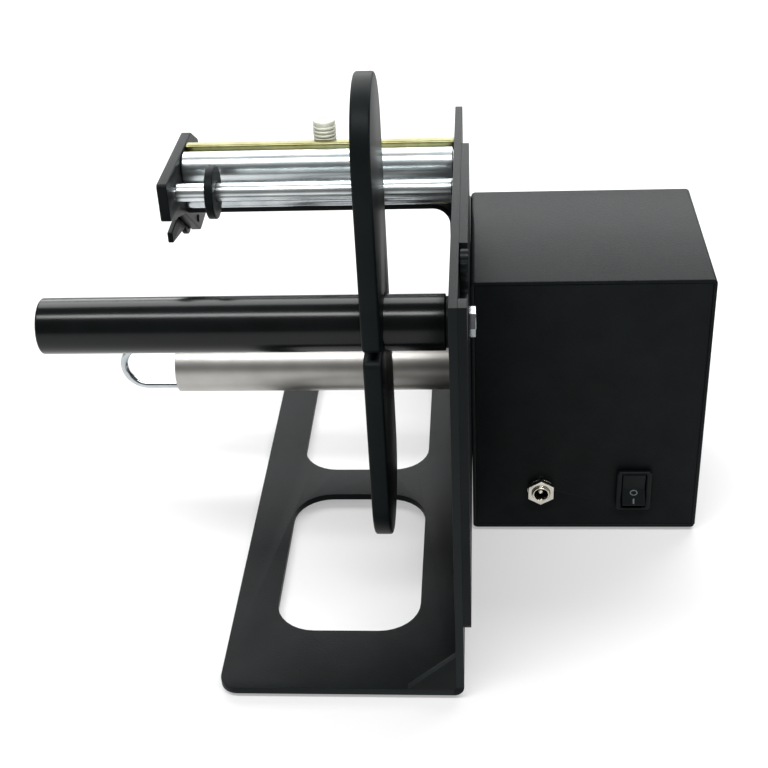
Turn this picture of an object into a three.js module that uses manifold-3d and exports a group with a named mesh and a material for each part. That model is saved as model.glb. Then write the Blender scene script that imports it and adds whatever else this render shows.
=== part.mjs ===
// Label dispenser machine: a driven take-up spindle pulls a label web off a supply tube and over a peel head.
// Millimetres. X runs along the spindles with the motor box on the +X side.
// Y runs away from the front and Z is up.
import * as THREE from 'three';
import { mergeVertices } from 'three/addons/utils/BufferGeometryUtils.js';
import Module from 'manifold-3d';

const wasm = await Module();
wasm.setup();

// Fits
const seatGap = 0.1;
const runGap = 0.3;
const cutOverrun = 5;
const weldTolerance = 0.0001;

// How far up a round screw head its dome begins to draw in
const domeShare = 0.7;

// Counts of flat facets on round pieces
const fineSteps = 20;
const plainSteps = 12;
const smallSteps = 8;
const cornerSteps = 5;
const fluteSteps = 3;

// Base: an L-bent sheet with a foot leg and an upright leg
const sheet = 3;
const footHeight = 2;
const baseWidth = 94.7;
const baseLength = 266;
const baseCornerRadius = 7.2;
const uprightHeight = 169;
const uprightTopLength = 178.4;
const uprightHeelHeight = 27;
const uprightShoulderHeight = 100;
const uprightCornerRadius = 4;
const bendRadius = 4;
const windowWidth = 59;
const windowSideMargin = 18.3;
const windowEndMargin = 32.5;
const windowBar = 19.5;
const windowRadius = 16.5;
const gussetWidth = 18.8;
const gussetHeight = 16.8;
const baseFootRadius = 6;
const baseFootInset = 9.5;

// Main plate: a second sheet on the right of the upright leg
const mainPlateLength = 138;
const mainPlateLow = 34.5;
const notchStart = 6.3;
const notchLength = 39.7;
const notchDepth = 19;
const notchRadius = 3;

// Motor box
const boxWidth = 97.1;
const boxDepth = 86.4;
const boxHeight = 123;
const boxFront = 103;
const boxWall = 1.5;
const boxEdgeRadius = 2;
const boxLip = 9;
const boxScrewRadius = 1.5;
const boxScrewHeadRadius = 2.6;
const boxScrewHead = 1.4;
const boxScrewLength = 5;
const boxFootRadius = 5;
const boxFootInset = 13;

// Supply tube
const supplyFromFront = 68;
const supplyHeight = 127.2;
const supplyRadius = 10.8;
const supplyWall = 2;
const supplyLength = 154.3;
const supplyEndGap = 2.7;
const supplyPlugLength = 14;
const supplyEndRound = 1;
const axleRadius = 4.8;
const boltRadius = 3;
const boltHeadFlats = 10;
const boltHeadHeight = 4;
const boltReach = 20;
const boltShank = 15;
const boltWellRadius = 9;
const boltTurnDegrees = 30;
const boltCornerShare = 0.58;
const boltCrownShare = 0.5;
const washerRadius = 6;
const washerThickness = 1.4;

// Baffle on the supply tube
const baffleThickness = 7;
const baffleFromUpright = 25.5;
const baffleHalfWidth = 26.1;
const baffleUpReach = 96.9;
const baffleDownReach = 95;
const baffleTiltDegrees = 1.2;
const baffleSlit = 3.6;
const baffleLipRadius = 3;
const baffleEdge = 0.8;

// Take-up spindle and its clip
const takeUpFromFront = 142;
const takeUpHeight = 64;
const takeUpRadius = 11.9;
const takeUpWall = 2.4;
const takeUpLength = 123.4;
const takeUpFromUpright = 2;
const takeUpHubLength = 20;
const takeUpPlugLength = 8;
const clipWireRadius = 1.7;
const clipReach = 27.4;
const clipTailGap = 2;
const shaftRadius = 4;
const bushRadius = 8;
const bushFlangeRadius = 10.5;
const bushFlange = 1.5;

// Gearbox and motor
const gearModule = 1;
const gearToothCount = 30;
const pinionToothCount = 10;
const gearWidth = 6;
const gearTipShare = 0.9;
const gearRootShare = 1.15;
const gearFootShare = 0.3;
const gearCrestShare = 0.12;
const gearboxWall = 2;
const gearboxDepth = 20;
const gearboxHalfWidth = 20;
const gearboxCornerRadius = 8;
const gearboxTopMargin = 16;
const motorRadius = 14;
const motorLength = 38;
const motorShaftRadius = 1.5;
const motorBossRadius = 5;
const motorBoss = 3;
const boardWidth = 34;
const boardLength = 50;
const boardThickness = 1.6;
const boardLegRadius = 2.5;
const boardLegHeight = 6;
const boardRightMargin = 4;
const capacitorRadius = 5;
const capacitorHeight = 14;
const terminalHeight = 9;
const terminalWidth = 16;
const terminalDepth = 8;

// Front panel of the box
const jackFromLeft = 29.5;
const jackHeight = 20.9;
const jackRadius = 3.8;
const jackBore = 2.7;
const jackPinRadius = 1;
const jackReach = 4;
const jackDepth = 12;
const jackNutFlats = 11;
const jackNutThickness = 2.2;
const jackWasherRadius = 5.7;
const jackWasherThickness = 0.6;
const switchFromLeft = 69.4;
const switchHeight = 21.2;
const switchBezelWidth = 14.8;
const switchBezelHeight = 20;
const switchBezelReach = 1.9;
const switchBodyWidth = 12.6;
const switchBodyHeight = 18.4;
const switchBodyDepth = 14;
const switchCavityWidth = 10.5;
const switchCavityHeight = 17.6;
const switchCavityDepth = 11;
const rockerWidth = 9.9;
const rockerHalfHeight = 7.6;
const rockerTilt = 10;
const rockerPivotDepth = 3.5;
const rockerEdgeRise = 3;
const rockerDip = 0.9;
const rockerBack = 4;
const rockerPinRadius = 1;
const rockerPinReach = 0.9;

// Peel head
const headWidth = 109.5;
const endPlateThickness = 4;
const endPlateFront = 98.8;
const endPlateLength = 66;
const endPlateNoseDrop = 15.4;
const endPlateSlopeRun = 25;
const endPlateSlopeDrop = 23.7;
const endPlateHeelRun = 49.5;
const endPlateHeelDrop = 42.8;
const endPlateBackDrop = 41.2;
const endPlateShoulderRun = 53.5;
const endPlateShoulderDrop = 8;
const endPlateRadius = 3;
const peelBarDepth = 4;
const peelBarHeight = 4;
const peelBarDrop = 0.6;
const peelBarGap = 1.4;
const rollerInset = 32.6;
const rollerDrop = 6.8;
const rollerRadius = 6.3;
const rollerJournalRadius = 3;
const idlerInset = 10.5;
const idlerDrop = 7.9;
const idlerRadius = 3.5;
const idlerJournalRadius = 2;
const journalReach = 2.4;
const rollerEndGap = 1.3;
const stayRodGap = 1.9;
const stayRodRadius = 4.7;
const stayScrewRadius = 1.8;
const stayScrewHeadRadius = 3.6;
const stayScrewHead = 2.4;
const stayScrewDepth = 5;
const stayScrewBore = 8;
const stayPlateGap = 0.5;
const stayPlateDepth = 30;
const staySheet = 2;
const stayFlange = 21;
const stayBend = 7.1;
const collarRadius = 10.5;
const collarThickness = 3.3;
const collarFromEndPlate = 15.6;
const leverInset = 47;
const leverDrop = 36.2;
const leverHubRadius = 6.5;
const leverPinRadius = 1.6;
const leverThickness = 2.2;
const leverPinReach = 0.6;
const leverReach = 30.6;
const leverTipLow = 3.6;
const leverTipHigh = 8.1;
const leverTipRadius = 0.8;
const leverKneeRun = 19;
const leverKneeHeight = 8.7;
const leverHeelDrop = 2.2;
const sensorRadius = 4.8;
const sensorFromUpright = 53.2;
const sensorTop = 176.7;
const sensorLength = 38;
const sensorChamfer = 1.2;
const sensorThreadPitch = 2.4;
const sensorThreadDepth = 0.4;
const sensorNutFlats = 14;
const sensorNutThickness = 4;
const sensorTravel = 25;
const sensorBarGap = 1.5;

// Tension knob in the notch
const knobFromFront = 39.4;
const knobBelowTop = 5.2;
const knobRadius = 5.5;
const knobThickness = 3;
const knobScrewRadius = 2;
const knobScrewReach = 2;
const knobFluteCount = 18;
const knobFluteRadius = 0.7;

// Worked-out places
const uprightLeft = -sheet;
const baseTop = footHeight + sheet;
const plateTop = footHeight + uprightHeight;
const windowLength = (baseLength - 2 * windowEndMargin - windowBar) / 2;
const boxLeft = sheet + seatGap;
const boxRight = boxLeft + boxWidth;
const boxLow = footHeight;
const boxTop = boxLow + boxHeight;
const boxBack = boxFront + boxDepth;
const headLeft = uprightLeft - headWidth;
const axleRight = uprightLeft - seatGap;
const supplyRight = uprightLeft - supplyEndGap;
const supplyLeft = supplyRight - supplyLength;
const takeUpRight = uprightLeft - takeUpFromUpright;
const takeUpLeft = takeUpRight - takeUpLength;
const clipRadiusPlace = takeUpRadius - clipWireRadius;
const jackX = boxLeft + jackFromLeft;
const jackZ = boxLow + jackHeight;
const switchX = boxLeft + switchFromLeft;
const switchZ = boxLow + switchHeight;
const gearCentres = gearModule * (gearToothCount + pinionToothCount) / 2;
const gearboxLeft = boxLeft + boxWall + seatGap;
const gearboxRight = gearboxLeft + gearboxDepth;
const endPlateRight = headLeft;
const endPlateLeft = headLeft - endPlateThickness;
const endPlateTop = plateTop;
const rollerFromFront = endPlateFront + rollerInset;
const rollerHeight = endPlateTop - rollerDrop;
const idlerFromFront = endPlateFront + idlerInset;
const idlerHeight = endPlateTop - idlerDrop;
const stayRodHeight = rollerHeight - rollerRadius - stayRodGap - stayRodRadius;
const leverFromFront = endPlateFront + leverInset;
const leverHeight = endPlateTop - leverDrop;
const peelBarFront = rollerFromFront + rollerRadius + peelBarGap;
const peelBarTop = endPlateTop - peelBarDrop;
const stayPlateTop = stayRodHeight - stayRodRadius - stayPlateGap;
const sensorY = peelBarFront + peelBarDepth + sensorBarGap + sensorRadius;
const sensorX = uprightLeft - sensorFromUpright;
const knobZ = plateTop - knobBelowTop;
const leftEnd = supplyLeft;
const centreX = (leftEnd + boxRight) / 2;
const frontEnd = 0;
const centreY = (frontEnd + baseLength) / 2;

// Solids from three.js geometry, and back
function toSolid(geometry) {
  const bare = geometry.clone();
  for (const name of Object.keys(bare.attributes)) {
    if (name !== 'position') bare.deleteAttribute(name);
  }
  const welded = mergeVertices(bare, weldTolerance);
  const source = welded.index.array;
  const kept = [];
  for (let i = 0; i < source.length; i += 3) {
    const [a, b, c] = [source[i], source[i + 1], source[i + 2]];
    if (a !== b && b !== c && c !== a) kept.push(a, b, c);
  }
  const vertProperties = new Float32Array(welded.attributes.position.array);
  return new wasm.Manifold(new wasm.Mesh({ numProp: 3, vertProperties, triVerts: new Uint32Array(kept) }));
}

function toGeometry(solid) {
  const mesh = solid.getMesh();
  const geometry = new THREE.BufferGeometry();
  geometry.setAttribute('position', new THREE.BufferAttribute(new Float32Array(mesh.vertProperties), 3));
  geometry.setIndex(new THREE.BufferAttribute(new Uint32Array(mesh.triVerts), 1));
  geometry.computeVertexNormals();
  return geometry;
}

function addPiece(parent, name, solid, material, x = 0, y = 0, z = 0) {
  const mesh = new THREE.Mesh(toGeometry(solid), material);
  mesh.name = name;
  mesh.position.set(x, y, z);
  parent.add(mesh);
  return mesh;
}

function addGroup(parent, x, y, z) {
  const group = new THREE.Group();
  group.position.set(x, y, z);
  parent.add(group);
  return group;
}

// Outlines
function circle(radius, a = 0, b = 0) {
  const shape = new THREE.Shape();
  shape.absarc(a, b, radius, 0, 2 * Math.PI, false);
  return shape;
}

function ring(outer, inner) {
  const shape = circle(outer);
  shape.holes.push(circle(inner));
  return shape;
}

function roundedRectangle(a0, b0, a1, b1, radius) {
  const shape = new THREE.Shape();
  shape.moveTo(a0 + radius, b0);
  shape.lineTo(a1 - radius, b0);
  shape.absarc(a1 - radius, b0 + radius, radius, -Math.PI / 2, 0, false);
  shape.lineTo(a1, b1 - radius);
  shape.absarc(a1 - radius, b1 - radius, radius, 0, Math.PI / 2, false);
  shape.lineTo(a0 + radius, b1);
  shape.absarc(a0 + radius, b1 - radius, radius, Math.PI / 2, Math.PI, false);
  shape.lineTo(a0, b0 + radius);
  shape.absarc(a0 + radius, b0 + radius, radius, Math.PI, 1.5 * Math.PI, false);
  return shape;
}

// A closed outline through corners given as [a, b, radius], each corner eased over its radius
function roundedOutline(corners) {
  const shape = new THREE.Shape();
  const count = corners.length;
  for (let i = 0; i < count; i += 1) {
    const [a, b, radius] = corners[i];
    const corner = new THREE.Vector2(a, b);
    const [beforeA, beforeB] = corners[(i + count - 1) % count];
    const before = new THREE.Vector2(beforeA, beforeB);
    const after = new THREE.Vector2(corners[(i + 1) % count][0], corners[(i + 1) % count][1]);
    const enter = corner.clone().add(before.sub(corner).setLength(radius));
    const leave = corner.clone().add(after.sub(corner).setLength(radius));
    if (i === 0) shape.moveTo(enter.x, enter.y);
    else shape.lineTo(enter.x, enter.y);
    if (radius > 0) shape.quadraticCurveTo(corner.x, corner.y, leave.x, leave.y);
  }
  shape.closePath();
  return shape;
}

function hexagon(flats) {
  const shape = new THREE.Shape();
  const reach = flats / Math.sqrt(3);
  for (let i = 0; i < 6; i += 1) {
    const angle = (i + 0.5) * Math.PI / 3;
    const a = reach * Math.cos(angle);
    const b = reach * Math.sin(angle);
    if (i === 0) shape.moveTo(a, b);
    else shape.lineTo(a, b);
  }
  shape.closePath();
  return shape;
}

// Extrusions. Along X an outline is drawn in (y, z), along Y in (x, z), along Z in (x, y).
function extruded(shape, length, steps) {
  return new THREE.ExtrudeGeometry(shape, { depth: length, bevelEnabled: false, curveSegments: steps });
}

function alongX(shape, low, high, steps = plainSteps) {
  const geometry = extruded(shape, high - low, steps);
  geometry.applyMatrix4(new THREE.Matrix4().set(0, 0, 1, low, 1, 0, 0, 0, 0, 1, 0, 0, 0, 0, 0, 1));
  return toSolid(geometry);
}

function alongY(shape, low, high, steps = plainSteps) {
  const geometry = extruded(shape, high - low, steps);
  geometry.rotateX(Math.PI / 2);
  geometry.translate(0, high, 0);
  return toSolid(geometry);
}

function alongZ(shape, low, high, steps = plainSteps) {
  const geometry = extruded(shape, high - low, steps);
  geometry.translate(0, 0, low);
  return toSolid(geometry);
}

function block(x0, y0, z0, x1, y1, z1) {
  const geometry = new THREE.BoxGeometry(x1 - x0, y1 - y0, z1 - z0);
  geometry.translate((x0 + x1) / 2, (y0 + y1) / 2, (z0 + z1) / 2);
  return toSolid(geometry);
}

// A solid of revolution about X from a closed profile of [x, radius] points
function turnedX(profile, steps = plainSteps) {
  const points = profile.map(([x, radius]) => new THREE.Vector2(radius, x));
  const geometry = new THREE.LatheGeometry(points, 2 * steps);
  geometry.rotateZ(-Math.PI / 2);
  return toSolid(geometry);
}

function turnedZ(profile, steps = plainSteps) {
  const points = profile.map(([z, radius]) => new THREE.Vector2(radius, z));
  const geometry = new THREE.LatheGeometry(points, 2 * steps);
  geometry.rotateX(Math.PI / 2);
  return toSolid(geometry);
}

function hole(radius, y, z, steps = plainSteps) {
  const low = uprightLeft - cutOverrun;
  const high = sheet + cutOverrun;
  return alongX(circle(radius, y, z), low, high, steps);
}

// Materials
function blackCoat() {
  return new THREE.MeshStandardMaterial({ color: 0x2a2a2c, roughness: 0.55, metalness: 0.2 });
}

function glossBlack() {
  return new THREE.MeshStandardMaterial({ color: 0x141416, roughness: 0.18, metalness: 0 });
}

function satinBlack() {
  return new THREE.MeshStandardMaterial({ color: 0x26282a, roughness: 0.42, metalness: 0 });
}

function brushedSteel() {
  return new THREE.MeshStandardMaterial({ color: 0xb9b6b0, roughness: 0.35, metalness: 1 });
}

function brightChrome() {
  return new THREE.MeshStandardMaterial({ color: 0xd6d9dc, roughness: 0.1, metalness: 1 });
}

function brightZinc() {
  return new THREE.MeshStandardMaterial({ color: 0xc9ccd0, roughness: 0.28, metalness: 1 });
}

function yellowZinc() {
  return new THREE.MeshStandardMaterial({ color: 0xa79f5c, roughness: 0.3, metalness: 1 });
}

function rubber() {
  return new THREE.MeshStandardMaterial({ color: 0x161616, roughness: 0.85, metalness: 0 });
}

function nickel() {
  return new THREE.MeshStandardMaterial({ color: 0xc8c6bf, roughness: 0.25, metalness: 1 });
}

function boardGreen() {
  return new THREE.MeshStandardMaterial({ color: 0x1f5b3a, roughness: 0.5, metalness: 0 });
}

function brassGear() {
  return new THREE.MeshStandardMaterial({ color: 0xb08d45, roughness: 0.35, metalness: 1 });
}

function whitePlastic() {
  return new THREE.MeshStandardMaterial({ color: 0xd9dbd8, roughness: 0.4, metalness: 0.1 });
}

// Base
function basePlate() {
  const foot = block(-baseWidth, 0, footHeight, 0, baseLength, baseTop);
  const upright = block(uprightLeft, 0, footHeight, 0, baseLength, plateTop);
  const side = roundedOutline([
    [0, 0, 0],
    [baseLength, 0, 0],
    [baseLength, footHeight + uprightHeelHeight, uprightCornerRadius],
    [uprightTopLength, footHeight + uprightShoulderHeight, uprightCornerRadius],
    [uprightTopLength, plateTop, uprightCornerRadius],
    [0, plateTop, 0],
  ]);
  const plan = roundedOutline([
    [-baseWidth, 0, baseCornerRadius],
    [cutOverrun, 0, 0],
    [cutOverrun, baseLength, 0],
    [-baseWidth, baseLength, baseCornerRadius],
  ]);
  const section = roundedOutline([
    [-baseWidth - cutOverrun, footHeight, 0],
    [0, footHeight, bendRadius],
    [0, plateTop + cutOverrun, 0],
    [-baseWidth - cutOverrun, plateTop + cutOverrun, 0],
  ]);
  let solid = foot.add(upright);
  solid = solid.intersect(alongX(side, -baseWidth - cutOverrun, cutOverrun, cornerSteps));
  solid = solid.intersect(alongZ(plan, 0, plateTop + cutOverrun, cornerSteps));
  solid = solid.intersect(alongY(section, -cutOverrun, baseLength + cutOverrun, cornerSteps));
  const windowRight = -windowSideMargin;
  const windowLeft = windowRight - windowWidth;
  for (let i = 0; i < 2; i += 1) {
    const front = windowEndMargin + i * (windowLength + windowBar);
    const opening = roundedRectangle(windowLeft, front, windowRight, front + windowLength, windowRadius);
    solid = solid.subtract(alongZ(opening, footHeight - cutOverrun, baseTop + cutOverrun, smallSteps));
  }
  const gusset = roundedOutline([
    [uprightLeft - gussetWidth, baseTop - sheet / 2, 0],
    [uprightLeft + sheet / 2, baseTop - sheet / 2, 0],
    [uprightLeft + sheet / 2, baseTop + gussetHeight, 0],
    [uprightLeft, baseTop + gussetHeight, 0],
    [uprightLeft - gussetWidth, baseTop, 0],
  ]);
  solid = solid.add(alongY(gusset, 0, sheet));
  solid = solid.subtract(hole(boltRadius + runGap, supplyFromFront, supplyHeight));
  solid = solid.subtract(hole(bushRadius + seatGap, takeUpFromFront, takeUpHeight));
  solid = solid.subtract(hole(rollerJournalRadius + runGap, rollerFromFront, rollerHeight, smallSteps));
  solid = solid.subtract(hole(idlerJournalRadius + runGap, idlerFromFront, idlerHeight, smallSteps));
  solid = solid.subtract(hole(knobScrewRadius + runGap, knobFromFront, knobZ, smallSteps));
  return solid;
}

function mainPlate() {
  const corner = uprightCornerRadius;
  const notchLow = plateTop - notchDepth;
  const outline = roundedOutline([
    [0, mainPlateLow, corner],
    [mainPlateLength, mainPlateLow, corner],
    [mainPlateLength, plateTop, corner],
    [notchStart + notchLength, plateTop, 0],
    [notchStart + notchLength, notchLow, notchRadius],
    [notchStart, notchLow, notchRadius],
    [notchStart, plateTop, 0],
    [0, plateTop, 0],
  ]);
  let solid = alongX(outline, seatGap, sheet, cornerSteps);
  solid = solid.subtract(hole(boltWellRadius, supplyFromFront, supplyHeight));
  solid = solid.subtract(hole(bushRadius + seatGap, takeUpFromFront, takeUpHeight));
  return solid;
}

function addBase(machine) {
  const base = addGroup(machine, 0, 0, 0);
  addPiece(base, 'base_plate', basePlate(), blackCoat());
  addPiece(base, 'main_plate', mainPlate(), blackCoat());
  const footX = [-baseWidth + baseFootInset, -baseFootInset];
  const footY = [baseFootInset, baseLength - baseFootInset];
  let number = 1;
  for (const x of footX) {
    for (const y of footY) {
      const foot = alongZ(circle(baseFootRadius), 0, footHeight - seatGap);
      addPiece(base, `base_foot_${number}`, foot, rubber(), x, y, 0);
      number += 1;
    }
  }
}

// Motor box
function boxShell() {
  const r = boxEdgeRadius;
  const below = boxLow - cutOverrun;
  const plan = roundedRectangle(boxLeft, boxFront, boxRight, boxBack, r);
  const front = roundedRectangle(boxLeft, below, boxRight, boxTop, r);
  const side = roundedRectangle(boxFront, below, boxBack, boxTop, r);
  let solid = alongZ(plan, boxLow, boxTop, cornerSteps);
  solid = solid.intersect(alongY(front, boxFront - cutOverrun, boxBack + cutOverrun, cornerSteps));
  solid = solid.intersect(alongX(side, boxLeft - cutOverrun, boxRight + cutOverrun, cornerSteps));
  const inner = [boxLeft + boxWall, boxFront + boxWall, boxRight - boxWall, boxBack - boxWall];
  solid = solid.subtract(block(inner[0], inner[1], below, inner[2], inner[3], boxTop - boxWall));
  const lipLow = boxLow + boxWall + seatGap;
  const lipHigh = lipLow + boxWall;
  solid = solid.add(block(boxLeft + boxWall / 2, inner[1] - boxWall / 2, lipLow, boxRight - boxWall / 2,
    inner[1] + boxLip, lipHigh));
  solid = solid.add(block(boxLeft + boxWall / 2, inner[3] - boxLip, lipLow, boxRight - boxWall / 2,
    inner[3] + boxWall / 2, lipHigh));
  for (const [x, y] of boxScrewPlaces()) {
    const clear = circle(boxScrewRadius + runGap, x, y);
    solid = solid.subtract(alongZ(clear, below, lipHigh + cutOverrun, smallSteps));
  }
  const bush = alongX(circle(bushRadius + runGap, takeUpFromFront, takeUpHeight), boxLeft - cutOverrun,
    boxLeft + boxWall + cutOverrun);
  solid = solid.subtract(bush);
  const wallCut = [boxFront - cutOverrun, boxFront + boxWall + cutOverrun];
  solid = solid.subtract(alongY(circle(jackRadius + runGap, jackX, jackZ), wallCut[0], wallCut[1]));
  const w = switchBodyWidth / 2 + seatGap;
  const h = switchBodyHeight / 2 + seatGap;
  solid = solid.subtract(block(switchX - w, wallCut[0], switchZ - h, switchX + w, wallCut[1], switchZ + h));
  return solid;
}

function boxScrewPlaces() {
  const places = [];
  for (const x of [boxLeft + boxFootInset * 2, boxRight - boxFootInset * 2]) {
    for (const y of [boxFront + boxWall + boxLip / 2, boxBack - boxWall - boxLip / 2]) places.push([x, y]);
  }
  return places;
}

function boxFloor() {
  const inset = boxWall + seatGap;
  const top = boxLow + boxWall;
  const plan = roundedRectangle(boxLeft + inset, boxFront + inset, boxRight - inset, boxBack - inset,
    boxEdgeRadius / 2);
  let solid = alongZ(plan, boxLow, top, cornerSteps);
  for (const [x, y] of boxScrewPlaces()) {
    const bore = circle(boxScrewRadius + runGap, x, y);
    solid = solid.subtract(alongZ(bore, boxLow - cutOverrun, top + cutOverrun, smallSteps));
  }
  return solid;
}

function boxScrew() {
  return turnedZ([
    [-boxScrewHead - seatGap, 0],
    [-boxScrewHead - seatGap, boxScrewHeadRadius * domeShare],
    [-boxScrewHead / 2 - seatGap, boxScrewHeadRadius],
    [-seatGap, boxScrewHeadRadius],
    [-seatGap, boxScrewRadius],
    [boxScrewLength, boxScrewRadius],
    [boxScrewLength, 0],
  ], smallSteps);
}

function controlBoard() {
  const low = boardLegHeight;
  const high = low + boardThickness;
  let solid = block(0, 0, low, boardWidth, boardLength, high);
  const inset = 2 * boardLegRadius;
  for (const x of [inset, boardWidth - inset]) {
    for (const y of [inset, boardLength - inset]) {
      solid = solid.add(alongZ(circle(boardLegRadius, x, y), 0, high, smallSteps));
    }
  }
  const middle = boardWidth / 2;
  solid = solid.add(alongZ(circle(capacitorRadius, middle, boardLength / 2), low, high + capacitorHeight));
  const edge = boardLegRadius;
  const side = boardWidth / 2 - terminalWidth / 2;
  solid = solid.add(block(side, edge, low, boardWidth - side, edge + terminalDepth, high + terminalHeight));
  return solid;
}

function jackBody() {
  const front = -jackReach;
  let solid = alongY(ring(jackRadius, jackBore), front, jackDepth);
  solid = solid.add(alongY(circle(jackBore + seatGap), jackDepth / 2, jackDepth));
  solid = solid.add(alongY(circle(jackPinRadius), front / 2, jackDepth / 2 + seatGap, smallSteps));
  return solid;
}

function jackNut() {
  const shape = hexagon(jackNutFlats);
  shape.holes.push(circle(jackRadius + seatGap));
  const back = -jackWasherThickness - 2 * seatGap;
  return alongY(shape, back - jackNutThickness, back);
}

function switchBezel() {
  const w = switchBezelWidth / 2;
  const h = switchBezelHeight / 2;
  const flange = roundedRectangle(-w, -h, w, h, boxWall);
  let solid = alongY(flange, -switchBezelReach - seatGap, -seatGap, cornerSteps);
  const bw = switchBodyWidth / 2;
  const bh = switchBodyHeight / 2;
  solid = solid.add(block(-bw, -switchBezelReach / 2, -bh, bw, switchBodyDepth, bh));
  const cw = switchCavityWidth / 2;
  const ch = switchCavityHeight / 2;
  solid = solid.subtract(block(-cw, -switchBezelReach - cutOverrun, -ch, cw, switchCavityDepth, ch));
  const pin = rockerPinRadius + runGap;
  const reach = rockerWidth / 2 + rockerPinReach + runGap;
  solid = solid.subtract(alongX(circle(pin, rockerPivotDepth, 0), -reach, reach, smallSteps));
  return solid;
}

// The rocker is drawn about its pivot, with its upper half pressed in
function switchRocker() {
  const face = -rockerPivotDepth;
  const profile = roundedOutline([
    [face - rockerDip, 0, rockerDip],
    [face - rockerEdgeRise, rockerHalfHeight, rockerDip],
    [0, rockerHalfHeight, rockerDip],
    [rockerBack, 0, rockerDip],
    [0, -rockerHalfHeight, rockerDip],
    [face - rockerEdgeRise, -rockerHalfHeight, rockerDip],
  ]);
  const solid = alongX(profile, -rockerWidth / 2, rockerWidth / 2, cornerSteps);
  const reach = rockerWidth / 2 + rockerPinReach;
  const pin = alongX(circle(rockerPinRadius), -reach, reach, smallSteps);
  return solid.add(pin).rotate([-rockerTilt, 0, 0]);
}

function addBox(machine) {
  const box = addGroup(machine, 0, 0, 0);
  addPiece(box, 'housing_shell', boxShell(), blackCoat());
  addPiece(box, 'housing_floor', boxFloor(), blackCoat());
  let number = 1;
  for (const [x, y] of boxScrewPlaces()) {
    addPiece(box, `housing_screw_${number}`, boxScrew(), brightZinc(), x, y, boxLow);
    number += 1;
  }
  number = 1;
  for (const x of [boxLeft + boxFootInset, boxRight - boxFootInset]) {
    for (const y of [boxFront + boxFootInset, boxBack - boxFootInset]) {
      const foot = alongZ(circle(boxFootRadius), 0, footHeight - seatGap);
      addPiece(box, `housing_foot_${number}`, foot, rubber(), x, y, 0);
      number += 1;
    }
  }
  const boardX = boxRight - boxWall - boardRightMargin - boardWidth;
  const boardY = boxBack - boxWall - boxLip - boardRightMargin - boardLength;
  addPiece(box, 'control_board', controlBoard(), boardGreen(), boardX, boardY, boxLow + boxWall + seatGap);
  const jack = addGroup(box, jackX, boxFront, jackZ);
  addPiece(jack, 'dc_jack_body', jackBody(), nickel());
  const washerShape = ring(jackWasherRadius, jackRadius + seatGap);
  const washer = alongY(washerShape, -jackWasherThickness - seatGap, -seatGap);
  addPiece(jack, 'dc_jack_washer', washer, nickel());
  addPiece(jack, 'dc_jack_nut', jackNut(), nickel());
  const power = addGroup(box, switchX, boxFront, switchZ);
  addPiece(power, 'switch_bezel', switchBezel(), satinBlack());
  addPiece(power, 'switch_rocker', switchRocker(), satinBlack(), 0, rockerPivotDepth, 0);
}

// Gearbox and motor, drawn about the output shaft
function gearShape(teeth, bore) {
  const tip = gearModule * (teeth / 2 + gearTipShare);
  const root = gearModule * (teeth / 2 - gearRootShare);
  const shape = new THREE.Shape();
  const turn = 2 * Math.PI / teeth;
  const flank = [
    [-gearFootShare, root],
    [-gearCrestShare, tip],
    [gearCrestShare, tip],
    [gearFootShare, root],
  ];
  for (let i = 0; i < teeth; i += 1) {
    for (const [share, radius] of flank) {
      const angle = (i + share) * turn;
      const a = radius * Math.cos(angle);
      const b = radius * Math.sin(angle);
      if (i === 0 && share === flank[0][0]) shape.moveTo(a, b);
      else shape.lineTo(a, b);
    }
  }
  shape.closePath();
  if (bore > 0) shape.holes.push(circle(bore));
  return shape;
}

function gearboxCase() {
  const w = gearboxHalfWidth;
  const top = gearCentres + gearboxTopMargin;
  const outer = roundedRectangle(-w, -w, w, top, gearboxCornerRadius);
  const inner = roundedRectangle(gearboxWall - w, gearboxWall - w, w - gearboxWall, top - gearboxWall,
    gearboxCornerRadius - gearboxWall);
  let solid = alongX(outer, gearboxLeft, gearboxRight, cornerSteps);
  solid = solid.subtract(alongX(inner, gearboxLeft + gearboxWall, gearboxRight + cutOverrun, cornerSteps));
  const bore = shaftRadius + runGap;
  return solid.subtract(alongX(circle(bore), gearboxLeft - cutOverrun, gearboxRight));
}

function gearboxLid() {
  const w = gearboxHalfWidth;
  const top = gearCentres + gearboxTopMargin;
  const low = gearboxRight + seatGap;
  const outer = roundedRectangle(-w, -w, w, top, gearboxCornerRadius);
  const solid = alongX(outer, low, low + gearboxWall, cornerSteps);
  const bore = motorBossRadius + seatGap;
  return solid.subtract(alongX(circle(bore, 0, gearCentres), low - cutOverrun, low + cutOverrun));
}

function motorCan() {
  const front = gearboxRight + gearboxWall + 2 * seatGap;
  const length = motorLength;
  const edge = motorBoss / 2;
  const bore = motorShaftRadius + runGap;
  return turnedX([
    [front - motorBoss, bore],
    [front - motorBoss, motorBossRadius],
    [front, motorBossRadius],
    [front, motorRadius - edge],
    [front + edge, motorRadius],
    [front + length - edge, motorRadius],
    [front + length, motorRadius - edge],
    [front + length, motorBossRadius],
    [front + length + motorBoss, motorBossRadius],
    [front + length + motorBoss, 0],
    [front + length / 2, 0],
    [front + length / 2, bore],
    [front - motorBoss, bore],
  ]);
}

function motorPinion() {
  const middle = (gearboxLeft + gearboxWall + gearboxRight) / 2;
  const half = gearWidth / 2 + runGap;
  const teeth = alongX(gearShape(pinionToothCount, 0), middle - half, middle + half);
  const end = gearboxRight + gearboxWall + motorLength / 2 - motorBoss;
  return teeth.add(alongX(circle(motorShaftRadius), middle, end, smallSteps));
}

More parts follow.
